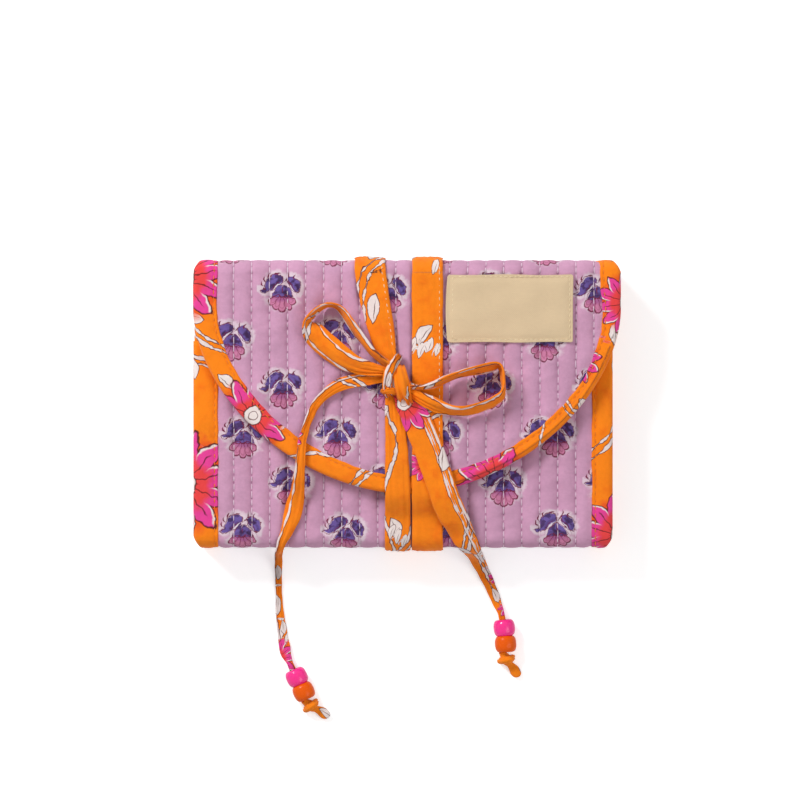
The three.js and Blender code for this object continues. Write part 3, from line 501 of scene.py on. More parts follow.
@dataclass(frozen=True)
class SprigPlan:
    """The small print of the quilted cloth. Y points from the petals to the leaves."""

    across: float = 23.3
    along: float = 42.6
    shift: Pair = (-73.5, 44.0)
    size: float = 0.89
    loose_turn: float = 0.22
    loose_place: float = 2.0
    misfit: float = 0.8
    shake: float = 1.5
    shake_size: float = 2.4
    teeth: float = 1.5
    ragged: float = 2.6
    halo_far: float = 3.1
    halo_near: float = 1.0
    halo_share: float = 0.76
    vein_inset: float = 0.8
    cup: Pair = (0.1, 1.7)
    petal_turn: float = 0.42
    petal_shrink: float = 0.03
    petal: Petal = Petal(5.9, 0.0, 0.0, 3.7, 1.75, 0.0, 0.35)
    core: Petal = Petal(0.0, -1.4, 0.0, 4.8, 1.5)
    cap: Petal = Petal(0.3, -0.3, 0.0, 5.2, 3.0, 0.9, 0.0, 0.4)
    leaves: tuple[Petal, ...] = (
        Petal(-4.0, 6.1, 0.7, 5.6, 3.1, 0.2, 0.15, 0.3), Petal(5.7, 5.6, -0.95, 4.6, 2.6, 0.2, 0.1, 0.3),
        Petal(4.6, 8.4, 0.7, 1.9, 1.0, 0.2, 0.0, 0.3), Petal(-8.6, 3.6, 0.35, 2.6, 1.0, -0.9, 0.0, 0.5),
    )
    leaf_shades: tuple[Petal, ...] = (
        Petal(-3.4, 5.4, 0.66, 4.0, 0.8, 0.6), Petal(6.9, 4.8, -1.0, 3.0, 0.7, 0.8),
        Petal(0.3, 0.6, 0.0, 4.2, 0.9, 1.5),
    )
    pale_lines: tuple[Petal, ...] = (
        Petal(-3.1, 3.7, 0.85, 3.8, 0.36, 1.6), Petal(4.0, 4.0, -0.9, 4.6, 0.38, 1.4),
        Petal(0.9, 7.4, 1.3, 2.8, 0.34, -1.2),
    )
    outlined: tuple[Petal, ...] = (
        Petal(-4.1, 6.2, 0.7, 5.7, 3.3, 0.2, 0.15, 0.35), Petal(5.8, 5.6, -0.95, 4.7, 2.75, 0.2, 0.1, 0.35),
        Petal(-8.7, 3.6, 0.35, 2.7, 1.1, -0.9, 0.0, 0.5), Petal(0.3, -0.3, 0.0, 5.3, 3.1, 0.9, 0.0, 0.4),
    )
    strokes: tuple[Petal, ...] = (
        Petal(2.3, 9.6, 1.1, 2.9, 0.32, -2.0), Petal(4.4, 4.6, -0.9, 4.6, 0.2, 4.0),
        Petal(-3.6, 4.4, 0.85, 3.6, 0.18, 4.0), Petal(-9.6, 6.1, 1.9, 1.5, 0.38, 1.8),
        Petal(-8.5, 8.3, 1.7, 1.5, 0.4, 1.8), Petal(-6.2, 10.1, 1.3, 1.5, 0.38, 1.8),
        Petal(-2.4, 10.9, 0.2, 1.7, 0.34, 0.8), Petal(6.3, 9.6, 1.2, 1.3, 0.34, 1.6),
        Petal(0.3, 3.4, 1.5, 1.7, 0.24),
    )
    ground: Colour = paint(202, 151, 181)
    halo: Colour = paint(222, 206, 214)
    petal_colour: Colour = paint(200, 122, 158)
    petal_deep: Colour = paint(166, 92, 142)
    leaf_colour: Colour = paint(106, 84, 154)
    leaf_deep: Colour = paint(60, 32, 76)
    ink: Colour = paint(112, 28, 62)


@dataclass(frozen=True)
class Stem:
    """One family of waving stems of a print."""

    run: float
    rise: float
    period: float
    swing: float
    spacing: float
    apart: float
    half: float


@dataclass(frozen=True)
class TrailPlan:
    """The larger print of the binding and the ribbon."""

    across: float = 40.0
    along: float = 52.0
    shift: Pair = (0.0, 0.0)
    shake: float = 2.6
    shake_size: float = 6.0
    petal_turn: float = math.tau / 11
    petal: Petal = Petal(7.6, 0.0, 0.0, 5.6, 2.35, 0.0, 0.1, 0.4)
    heart: float = 3.0
    glow_far: float = 13.4
    glow_near: float = 9.6
    pod: Petal = Petal(0.0, 0.0, QUARTER, 7.0, 2.6, 0.15, 0.2, 0.5)
    pod_fold: Petal = Petal(0.3, -1.0, QUARTER, 3.8, 0.17, 2.0)
    stems: tuple[Stem, ...] = (
        Stem(0.3, 0.954, 64.0, 4.0, 46.0, 1.6, 0.68), Stem(-0.24, 0.97, 52.0, 3.2, 61.0, 0.0, 0.6),
    )
    leaves: tuple[Petal, ...] = (
        Petal(12.0, 8.0, 1.2, 5.6, 2.7, 0.4, 0.0, 0.6), Petal(-9.5, -15.0, 2.1, 5.2, 2.4, -0.4, 0.0, 0.6),
    )
    ground: Colour = paint(251, 133, 8)
    ground_deep: Colour = paint(244, 117, 4)
    stem_colour: Colour = paint(232, 216, 214)
    leaf_colour: Colour = paint(236, 222, 218)
    petal_colour: Colour = paint(228, 64, 148)
    petal_root: Colour = paint(232, 66, 66)
    petal_glow: Colour = paint(236, 84, 28)
    ink: Colour = paint(88, 26, 26)


class Prints:
    """The node groups that the finishes share."""

    def __init__(self) -> None:
        """Builds each group once."""
        colour = {"Colour": "Color"}
        shape = {"Place": None, "Reach": 1.0, "Half": 1.0}
        shape |= dict.fromkeys(("X", "Y", "Turn", "Bend", "Taper", "Point"), 0.0)
        self.petal = make_group("Block petal", shape, {"Gap": "Float"}, self._petal)
        weave = {"Cloth": None, "Pitch": 0.3}
        self.weave = make_group("Plain weave", weave, {"Height": "Float", "Shade": "Float"}, self._weave)
        self.sprig = make_group("Sprig print", {"Cloth": None}, colour, self._sprig)
        self.trail = make_group("Trailing print", {"Cloth": None, "Flower": None}, colour, self._trail)
        holes = {"Seam": None, "First": 0.0, "Lines": 8.0, "Stitch": 3.5}
        self.holes = make_group("Needle hole shadow", holes, {"Share": "Float"}, self._holes)
        fade = {"Colour": (0.5, 0.5, 0.5), "Cloth": None, "Depth": 0.1}
        self.fade = make_group("Uneven dye", fade, colour, self._fade)

    @staticmethod
    def _petal(graph: Graph, given: dict[str, Flow]) -> dict[str, Flow]:
        """A petal's outline as a distance, less than 0 inside."""
        x, y, _ = graph.split(given["Place"])
        right, up = x - given["X"], y - given["Y"]
        cosine, sine = graph.math("COSINE", given["Turn"]), graph.math("SINE", given["Turn"])
        along = (right * cosine + up * sine) / given["Reach"]
        room = 1.0 - along * along
        across = (up * cosine - right * sine) / given["Half"] - given["Bend"] * room
        across = across / (given["Taper"] * along + 1.0)
        rounded = graph.length(along, across) - 1.0
        pointed = abs(across) - room
        gap = rounded + (pointed - rounded) * given["Point"]
        return {"Gap": gap * given["Half"]}

    @staticmethod
    def _weave(graph: Graph, given: dict[str, Flow]) -> dict[str, Flow]:
        """Threads over and under each other, with slubs, and a painted shade that is darker in the hollows
        between threads.
        """
        u, v, _ = graph.split(given["Cloth"])
        warp = graph.math("SINE", u * math.pi / given["Pitch"])
        weft = graph.math("SINE", v * math.pi / given["Pitch"])
        slub = graph.noise(graph.vector(u * 0.12, v), 0.5)
        height = warp * weft * 0.5 + slub
        return {"Height": height, "Shade": height * 0.5 + 0.35}

    @staticmethod
    def _holes(graph: Graph, given: dict[str, Flow]) -> dict[str, Flow]:
        """The shadow in the needle holes between the stitches of sewn lines."""
        x, along, _ = graph.split(given["Seam"])
        across = (x - given["First"]) / given["Lines"]
        aside = (across - graph.math("ROUND", across)) * given["Lines"]
        beat = along / given["Stitch"]
        ahead = (beat - graph.math("ROUND", beat)) * given["Stitch"]
        far = graph.math("SQRT", aside * aside + ahead * ahead * 0.5)
        uneven = graph.ease(graph.noise(given["Seam"], 3.0), 0.36, 0.6)
        return {"Share": graph.ease(far, 0.66, 0.22) * (uneven * 0.75 + 0.25)}

    @staticmethod
    def _fade(graph: Graph, given: dict[str, Flow]) -> dict[str, Flow]:
        """Dye that took a little more here and a little less there."""
        broad = graph.noise(given["Cloth"], 14.0, 3.0)
        fine = graph.noise(given["Cloth"], 1.6)
        level = (broad * 0.7 + fine * 0.3 - 0.5) * given["Depth"] * 3.0 + 1.0
        tint = graph.vector(level, level, level)
        return {"Colour": graph.mix(given["Colour"], tint, 1.0, "MULTIPLY")}

    def _gap(self, graph: Graph, place: Flow, petal: Petal) -> Flow:
        """The distance from one petal's outline."""
        return graph.use(self.petal, Place=place, **petal.feeds())["Gap"]

    def _least(self, graph: Graph, gaps: Sequence[Flow]) -> Flow:
        """The least of the distances."""
        least = gaps[0]
        for gap in gaps[1:]:
            least = graph.math("MINIMUM", least, gap)
        return least

    @staticmethod
    def _cells(graph: Graph, cloth: Flow, plan: SprigPlan | TrailPlan) -> tuple[Flow, Flow, Flow, Flow]:
        """The place in one cell of a half-drop repeat, and the cell's numbers."""
        u, v, _ = graph.split(cloth)
        column = graph.math("ROUND", (u - plan.shift[0]) / plan.across)
        odd = abs(graph.math("MODULO", column, 2.0))
        drop = (v - plan.shift[1]) / plan.along - odd * 0.5
        row = graph.math("ROUND", drop)
        return u - plan.shift[0] - column * plan.across, (drop - row) * plan.along, column, row

    def _fan(self, graph: Graph, place: Flow, plan: SprigPlan) -> tuple[Flow, Flow, Flow]:
        """The distances from the nearest petal and from the line between petals, and the reach."""
        x, y, _ = graph.split(place)
        x, y = x - plan.cup[0], y - plan.cup[1]
        spread = graph.math("ARCTAN2", x, 0.0 - y)
        number = graph.math("ROUND", spread / plan.petal_turn)
        number = graph.math("MINIMUM", graph.math("MAXIMUM", number, -2.0), 2.0)
        side = spread - number * plan.petal_turn
        far = graph.length(x, y) * (number * number * plan.petal_shrink + 1.0)
        local = graph.vector(far * graph.math("COSINE", side), far * graph.math("SINE", side))
        between = abs(abs(side) - plan.petal_turn / 2) * far
        return self._gap(graph, local, plan.petal), between, far

    def _sprig(self, graph: Graph, given: dict[str, Flow]) -> dict[str, Flow]:
        """A small block-printed sprig: two leaves, a cup and a fan of petals, on a pale ground."""
        plan, cloth = SprigPlan(), given["Cloth"]
        x, y, column, row = self._cells(graph, cloth, plan)
        chance = graph.scatter(column, row)
        turn = chance[0] * plan.loose_turn
        x, y = x + chance[1] * plan.loose_place, chance[2] * plan.loose_place - y
        x, y = x - y * turn, y + x * turn
        shake = graph.noise(cloth, plan.shake_size) - 0.5
        shake_too = graph.noise(graph.vector(y, x, column * 7.0), plan.shake_size) - 0.5
        x, y = (x + shake * plan.shake) / plan.size, (y + shake_too * plan.shake) / plan.size
        block = graph.vector(x, y)
        line = graph.vector(x + chance[2] * plan.misfit, y + chance[0] * plan.misfit + 0.15)
        teeth = (graph.noise(cloth, 1.1) - 0.5) * plan.teeth
        leaves = [self._gap(graph, block, leaf) + teeth for leaf in plan.leaves]
        petals, _, _ = self._fan(graph, block, plan)
        cup = self._gap(graph, block, plan.cap)
        ragged = (graph.noise(cloth, 1.7) - 0.5) * plan.ragged
        around = self._least(graph, [*leaves, petals + 0.9, cup]) + ragged + graph.ease(y, -2.0, -8.0) * 1.3
        halo = graph.ease(around, plan.halo_far, plan.halo_near)
        colour = graph.mix(plan.ground, plan.halo, halo * plan.halo_share)
        inside = graph.inside(petals)
        colour = graph.mix(colour, plan.petal_colour, inside)
        core = graph.ease(self._gap(graph, block, plan.core), 1.0, -1.0)
        colour = graph.mix(colour, plan.petal_deep, core * inside)
        blot = graph.ease(graph.noise(cloth, 2.8), 0.46, 0.6)
        leaf_ink = graph.mix(plan.leaf_colour, plan.leaf_deep, blot * 0.8)
        for gap in (*leaves, cup):
            colour = graph.mix(colour, leaf_ink, graph.inside(gap))
        for leaf in plan.leaf_shades:
            share = graph.ease(self._gap(graph, block, leaf), 0.4, -0.4)
            colour = graph.mix(colour, plan.leaf_deep, share * (blot * 0.6 + 0.4))
        pale = self._least(graph, [self._gap(graph, line, stem) for stem in plan.pale_lines])
        colour = graph.mix(colour, plan.halo, graph.inside(pale))
        petals, between, far = self._fan(graph, line, plan)
        parted = graph.inside(between - LINE_HALF * 0.8) * graph.inside(petals)
        veins = graph.drawn(petals + plan.vein_inset) * graph.ease(far, 4.2, 5.4) * 0.3
        edges = self._least(graph, [self._gap(graph, line, leaf) + teeth for leaf in plan.outlined])
        strokes = self._least(graph, [self._gap(graph, line, stroke) for stroke in plan.strokes])
        ink = graph.drawn(petals)
        for share in (parted, veins, graph.drawn(edges), graph.inside(strokes)):
            ink = graph.math("MAXIMUM", ink, share)
        patchy = graph.ease(graph.noise(cloth, 0.9), 0.26, 0.38)
        return {"Colour": graph.mix(colour, plan.ink, ink * patchy)}

    def _trail(self, graph: Graph, given: dict[str, Flow]) -> dict[str, Flow]:
        """A larger print of pink flowers, white stems and leaves, lined in dark brown on orange."""
        plan, cloth = TrailPlan(), given["Cloth"]
        u, v, from_line = graph.split(cloth)
        fx, fy, kind = graph.split(given["Flower"])
        pale = graph.ease(kind, 0.0, -0.3)
        bloom, white = abs(kind) * (1.0 - pale), abs(kind) * pale
        shake = graph.noise(cloth, plan.shake_size) - 0.5
        shake_too = graph.noise(graph.vector(v, u, 3.0), plan.shake_size) - 0.5
        u, v = u + shake * plan.shake, v + shake_too * plan.shake
        flat = graph.vector(u, v)
        x, y, column, row = self._cells(graph, flat, plan)
        chance = graph.scatter(column, row)
        place = graph.vector(x + chance[1] * 3.0, y + chance[2] * 3.0)
        colour = graph.mix(plan.ground, plan.ground_deep, graph.ease(shake, -0.05, 0.3))
        worn = graph.ease(graph.noise(flat, 7.0), 0.36, 0.62)
        patchy = graph.ease(graph.noise(flat, 1.4), 0.28, 0.42)

        def lined(under: Flow, fill: Colour, gap: Flow, share: Feed = 1.0) -> Flow:
            """Fills a shape and lines its edge."""
            filled = graph.mix(under, fill, graph.inside(gap) * share)
            return graph.mix(filled, plan.ink, graph.drawn(gap) * patchy * share)

        for stem in plan.stems:
            wave = graph.math("SINE", (u * stem.run + v * stem.rise) * math.tau / stem.period)
            offset = ((v * stem.run - u * stem.rise) + wave * stem.swing) / stem.spacing
            nearest = abs(offset - graph.math("ROUND", offset)) * stem.spacing
            half = worn * stem.half * 1.4 + stem.half * 0.3
            colour = lined(colour, plan.stem_colour, abs(nearest - stem.apart) - half)
        aside = from_line + shake * 0.8
        colour = graph.mix(colour, plan.stem_colour, graph.inside(abs(aside) - worn * 0.5 - 0.05))
        edge = graph.drawn(aside + worn * 0.5 + 0.25, LINE_HALF * 0.8)
        colour = graph.mix(colour, plan.ink, edge * patchy)
        for leaf in plan.leaves:
            colour = lined(colour, plan.leaf_colour, self._gap(graph, place, leaf))
            vein = Petal(leaf.x, leaf.y, leaf.turn, leaf.reach * 0.6, LINE_HALF, leaf.bend)
            colour = graph.mix(colour, plan.ink, graph.inside(self._gap(graph, place, vein)))
        fx, fy = fx + shake * plan.shake, fy + shake_too * plan.shake
        far = graph.length(fx, fy)
        spread = graph.math("ARCTAN2", fy, fx)
        side = spread - graph.math("ROUND", spread / plan.petal_turn) * plan.petal_turn
        ahead, aside = far * graph.math("COSINE", side), far * graph.math("SINE", side)
        gap = self._gap(graph, graph.vector(ahead, aside), plan.petal)
        glow = graph.ease(far + shake * 5.0, plan.glow_far, plan.glow_near) * bloom
        colour = graph.mix(colour, plan.petal_glow, glow)
        inside = graph.inside(gap) * bloom
        outer = graph.ease(far + shake * 4.0, 5.2, 8.4)
        colour = graph.mix(colour, graph.mix(plan.petal_root, plan.petal_colour, outer), inside)
        rim = graph.ease(gap, -0.75, -0.45) * graph.ease(far, 6.0, 9.0) * graph.ease(aside, 0.2, -0.5)
        colour = graph.mix(colour, plan.leaf_colour, inside * rim)
        vein = graph.drawn(aside, LINE_HALF * 0.8) * graph.ease(far, 10.5, 9.0) * inside
        colour = graph.mix(colour, plan.ink, graph.math("MAXIMUM", vein, graph.drawn(gap) * bloom))
        colour = lined(colour, plan.leaf_colour, far - plan.heart, bloom)
        ring = graph.drawn(far - plan.heart * 0.5, LINE_HALF * 0.7)
        colour = graph.mix(colour, plan.ink, ring * bloom)
        middle = graph.vector(fx, fy)
        colour = lined(colour, plan.leaf_colour, self._gap(graph, middle, plan.pod), white)
        fold = graph.inside(self._gap(graph, middle, plan.pod_fold))
        return {"Colour": graph.mix(colour, plan.ink, fold * white)}


class Pattern(Enum):
    """What a cloth shows."""

    PLAIN = "plain"
    SPRIG = "sprig"
    TRAIL = "trail"


def new_material(name: str) -> tuple[bpy.types.Material, Graph]:
    """A material, and the graph that builds its nodes."""
    material = bpy.data.materials.new(name)
    material.use_nodes = True
    return material, Graph(material.node_tree)


@dataclass(frozen=True)
class ClothFinish:
    """Woven cotton, or felt: its colour or print, its threads and its sheen."""

    name: str
    pattern: Pattern = Pattern.PLAIN
    colour: Colour = (0.8, 0.8, 0.8)
    pitch: float = 0.3
    depth: float = 0.12
    weave_height: float = 0.06
    crease_height: float = 0.35
    crease_size: float = 5.0
    roughness: float = 0.86
    sheen: float = 0.12
    seams: Point | None = None

    def make(self, prints: Prints) -> bpy.types.Material:
        """Builds the material from the shared groups."""
        material, graph = new_material(self.name)
        cloth = graph.place("cloth")
        colour: Feed = self.colour
        if self.pattern is Pattern.SPRIG:
            colour = graph.use(prints.sprig, Cloth=cloth)["Colour"]
        if self.pattern is Pattern.TRAIL:
            colour = graph.use(prints.trail, Cloth=cloth, Flower=graph.place("detail"))["Colour"]
        if self.seams:
            first, lines, stitch = self.seams
            seam = graph.place("detail")
            holes = graph.use(prints.holes, Seam=seam, First=first, Lines=lines, Stitch=stitch)["Share"]
            # Painted shadow: the needle holes along the sewn lines are darkened towards a plum shadow colour.
            colour = graph.mix(colour, paint(140, 84, 118), holes * 0.5)
        dyed = graph.use(prints.fade, Colour=colour, Cloth=cloth, Depth=self.depth)["Colour"]
        weave = graph.use(prints.weave, Cloth=cloth, Pitch=self.pitch)
        # Painted shade: the colour is darkened towards black where the weave's threads dip, in the hollows
        # between them.
        dark = graph.mix(dyed, (0.0, 0.0, 0.0), 0.14)
        creases = graph.noise(cloth, self.crease_size, 3.0) * self.crease_height
        graph.shade({
            "Base Color": graph.mix(dark, dyed, weave["Shade"]),
            "Roughness": graph.ease(weave["Shade"], 1.2, 0.0) * 0.08 + (self.roughness - 0.04),
            "Normal": graph.bump(weave["Height"] * self.weave_height + creases, 0.8),
            "Sheen Weight": self.sheen,
            "Sheen Roughness": 0.5,
            "Specular IOR Level": 0.25,
        })
        return material


@dataclass(frozen=True)
class GlossFinish:
    """Moulded plastic or plated metal, with faint handling marks."""

    name: str
    colour: Colour
    metallic: float = 0.0
    specular: float = 0.5
    roughness: float = 0.18
    coat: float = 0.0
    subsurface: float = 0.0
    mark_size: float = 1.2

    def make(self, prints: Prints) -> bpy.types.Material:
        """Builds the material."""
        material, graph = new_material(self.name)
        place = graph.place("cloth")
        marks = graph.noise(place, self.mark_size, 4.0)
        graph.shade({
            "Base Color": graph.use(prints.fade, Colour=self.colour, Cloth=place, Depth=0.06)["Colour"],
            "Roughness": marks * 0.14 + (self.roughness - 0.05),
            "Normal": graph.bump(graph.noise(place, self.mark_size * 2.5) * 0.02, 0.6),
            "Metallic": self.metallic,
            "Specular IOR Level": self.specular,
            "Coat Weight": self.coat,
            "Coat Roughness": 0.06,
            "Subsurface Weight": self.subsurface,
            "Subsurface Radius": (0.004, 0.002, 0.001),
        })
        return material


def make_materials() -> dict[str, bpy.types.Material]:
    """Every material of the organizer, made once."""
    finishes = {
        "quilt": ClothFinish(
            "Sprigged cotton", Pattern.SPRIG,
            depth=0.2, crease_height=0.9, crease_size=6.0, seams=(3.0, 8.0, 3.5),
        ),
        "pocket": ClothFinish("Sprigged pocket cotton", Pattern.SPRIG, crease_height=0.5),
        "lining": ClothFinish("Cream lining", colour=paint(238, 226, 206)),
        "binding": ClothFinish("Printed binding", Pattern.TRAIL, crease_size=3.5),
        "ribbon": ClothFinish("Printed ribbon", Pattern.TRAIL, crease_height=0.5, crease_size=3.0),
        "label": ClothFinish("Label cloth", colour=paint(217, 192, 156), pitch=0.42, depth=0.05),
        "felt": ClothFinish("Felt", colour=paint(226, 214, 198), weave_height=0.2, sheen=0.3),
        "tape": ClothFinish("Zip tape", colour=paint(232, 120, 34), pitch=0.5, weave_height=0.12),
        "cut": ClothFinish("Cut ribbon end", colour=paint(236, 224, 208), crease_height=0.8),
        "thread": ClothFinish("Quilting thread", colour=paint(236, 214, 229), pitch=0.2),
        "orange_thread": ClothFinish("Orange thread", colour=paint(236, 132, 30), pitch=0.2),
        "cream_thread": ClothFinish("Cream thread", colour=paint(240, 222, 186), pitch=0.2),
        "metal": GlossFinish("Brass", paint(214, 176, 104), metallic=1.0, roughness=0.26),
        "pink": GlossFinish("Pink plastic", paint(248, 40, 140), specular=0.3, coat=0.25, subsurface=0.08),
        "orange": GlossFinish("Orange plastic", paint(230, 90, 2), specular=0.12, roughness=0.25, coat=0.08),
    }
    prints = Prints()
    return {key: finish.make(prints) for key, finish in finishes.items()}


MATERIALS = make_materials()


class Zone(Enum):
    """The stretches of the case's outer face, in order from the front panel's edge to the flap's."""

    FRONT = 0
    FRONT_CORNER = 1
    BOTTOM_WALL = 2
    BOTTOM_CORNER = 3
    BACK = 4
    TOP_CORNER = 5
    TOP_WALL = 6
    FLAP_CORNER = 7
    FLAP = 8


@dataclass
class CasePath:
    """The line that the case's outer face follows, seen from the side, by the distance along it."""

    fold_y: float = corner_of("top_fold_panel")[1][1]
    flap_top: float = corner_of("flap_binding")[1][2]
    front_top: float = corner_of("front_binding_left")[1][2]
    front_edge: float = corner_of("front_binding_top")[1][1]
    flap_tip: float = corner_of("flap_binding")[0][1]
    radius: float = 6.0
    pad: float = corner_of("back_binding_left")[1][2]

    def __post_init__(self) -> None:
        """Works out where each stretch starts."""
        flat = self.flat_y = self.fold_y - self.radius
        arc = self.radius * QUARTER
        front_wall, back_wall = self.front_top - 2 * self.radius, self.flap_top - 2 * self.radius
        self.lengths = [self.front_edge + flat, arc, front_wall, arc, 2 * flat, arc, back_wall, arc]
        self.lengths.append(flat - self.flap_tip)
        self.starts = [0.0, *np.cumsum(self.lengths).tolist()]

    def start(self, zone: Zone) -> float:
        """The distance at which a stretch starts."""
        return self.starts[zone.value]

    def middle(self, zone: Zone) -> float:
        """The distance at a stretch's middle."""
        return (self.starts[zone.value] + self.starts[zone.value + 1]) / 2

    def at(self, along: Array) -> tuple[Array, Array]:
        """Places and outward directions on the line.

        Args:
            along: Distances along the line.

        Returns:
            The places and the outward directions, each with y and z in its last axis.
        """
        flat, bend = self.flat_y, self.radius
        flap_low, front_low = self.flap_top - bend, self.front_top - bend
        share = [np.clip((along - start) / size, 0, 1) for start, size in zip(self.starts, self.lengths)]
        turn = QUARTER * (1 + share[1] + share[3] + share[5] + share[7])
        y = self.front_edge - share[0] * self.lengths[0] + share[4] * self.lengths[4]
        y = y - share[8] * self.lengths[8]
        z = front_low - share[2] * self.lengths[2] + share[6] * self.lengths[6]
        middle_y = np.where(share[4] > 0, y, np.where(share[0] >= 1, -flat, y))
        middle_z = np.where(share[6] > 0, bend + share[6] * (flap_low - bend), z)
        out = np.stack([np.cos(turn), np.sin(turn)], -1)
        return np.stack([middle_y, middle_z], -1) + out * bend, out

    def raised(self, x: Array, shift: Array, along: Array, offset: Array) -> Array:
        """Places that stand out from the line, where shift moves them in y."""
        place, out = self.at(along)
        moved = place + out * offset[..., None]
        return np.stack([x, moved[..., 0] + shift, moved[..., 1]], -1)


CASE = CasePath()


@dataclass(frozen=True)
class Stretch:
    """A part of the case that bends round one hinge, named by the end of its pieces' names."""

    key: str
    start: float
    end: float
    bodies: tuple[str, str]
    parts: tuple[str, ...]
    bend: tuple[Point, Point]

    def nodes(self, kind: str) -> list[str]:
        """The CAD nodes of one kind here."""
        return [f"{part}_{kind}" for part in self.parts]

    def settle(self, piece: bpy.types.Object, slot: str, nodes: Sequence[str]) -> None:
        """Bakes a piece's place into its mesh and lets it stand for its nodes."""
        start, end = [[c * MM for c in point] for point in self.bend]
        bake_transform(piece)
        settle(piece, nodes)


def make_stretches() -> tuple[Stretch, ...]:
    """The four stretches of the case, from the front panel's edge to the flap's."""
    flat, fold, bend = CASE.flat_y, CASE.fold_y, CASE.radius
    front, flap = CASE.front_top, CASE.flap_top
    bottom, back, top = (CASE.middle(zone) for zone in (Zone.BOTTOM_WALL, Zone.BACK, Zone.TOP_WALL))
    return (
        Stretch(
            "front", 0.0, bottom, ("bottom_fold", "front"), ("front",),
            ((0, -fold, front - bend), (0, -flat, front)),
        ),
        Stretch(
            "back_lower", bottom, back, ("bottom_fold", "back_case"), ("bottom_fold", "back"),
            ((0, -fold, bend), (0, -flat, 0)),
        ),
        Stretch(
            "back_upper", back, top, ("back_case", "top_fold"), ("top_fold", "back"),
            ((0, flat, 0), (0, fold, bend)),
        ),
        Stretch(
            "flap", top, CASE.starts[-1], ("top_fold", "flap"), ("flap",),
            ((0, fold, flap - bend), (0, flat, flap)),
        ),
    )


STRETCHES = make_stretches()


@dataclass
class FlapEdge:
    """The flap's rounded edge, and its binding's width by the share of the way along it."""

    half: float = corner_of("flap_binding")[1][0]
    power: float = 1.8
    curve_height: float = 82.0
    straight_from: float = CASE.flat_y - 0.3
    band: tuple[Pair, ...] = (
        (0.0, 10.8), (0.15, 10.2), (0.3, 9.2), (0.48, 7.9), (0.65, 6.7), (0.82, 6.2), (0.92, 7.8), (1.0, 9.3),
    )

    def band_width(self, share: Array) -> Array:
        """The binding's width at each share of the way from the edge's left end to its right end."""
        return np.interp(share, *np.array(self.band).T)

    def outline(self, inset: float, count: int = 240) -> tuple[Array, Array]:
        """Places along the edge, moved inwards, from the left side to the right side.

        Args:
            inset: How far inwards.
            count: How many places.

        Returns:
            The places and their outward directions, in x and y.
        """
        turn = np.linspace(0, math.pi, 4 * count)
        cosine, sine = np.cos(turn), np.sin(turn)
        x = -self.half * np.sign(cosine) * np.abs(cosine) ** (2 / self.power)
        y = CASE.flap_tip + self.curve_height * (1 - np.abs(sine) ** (2 / self.power))
        ends = [[[side * self.half, self.straight_from]] for side in (-1, 1)]
        edge = np.vstack([ends[0], np.stack([x, y], -1), ends[1]])
        far = run_length(np.pad(edge, ((0, 0), (0, 1))))
        edge = strung(np.linspace(0, far[-1], count), far, edge)
        along = unit(np.gradient(edge, axis=0))
        out = np.stack([along[:, 1], -along[:, 0]], -1)
        return edge - out * inset, out

    def depth(self, x: Array, y: Array) -> tuple[Array, Array]:
        """How far inside the edge each place lies, and the binding's width there."""
        edge, out = self.outline(0.0)
        flat = np.stack([x.ravel(), y.ravel()], -1)
        best, width = np.empty(len(flat)), np.empty(len(flat))
        for i in range(0, len(flat), 4000):
            apart = flat[i : i + 4000, None] - edge[None]
            near = np.argmin((apart**2).sum(-1), axis=1)
            best[i : i + 4000] = -(apart[np.arange(len(near)), near] * out[near]).sum(-1)
            width[i : i + 4000] = self.band_width(near / (len(edge) - 1))
        return best.reshape(x.shape), width.reshape(x.shape)

    def pulled_in(self, x: Array, y: Array, inset: float) -> tuple[Array, Array]:
        """The nearest places on the edge moved inwards."""
        edge, _ = self.outline(inset)
        apart = np.stack([x, y], -1)[:, None] - edge[None]
        near = edge[np.argmin((apart**2).sum(-1), axis=1)]
        return near[:, 0], near[:, 1]


FLAP_EDGE = FlapEdge()


def spread_right(along: Array) -> Array:
    """How far the case's right side spreads from the back to the wider flap."""
    extra = FLAP_EDGE.half - corner_of("back_binding_right")[1][0]
    return extra * smooth_share(along, CASE.start(Zone.TOP_CORNER) - 4, CASE.start(Zone.FLAP))


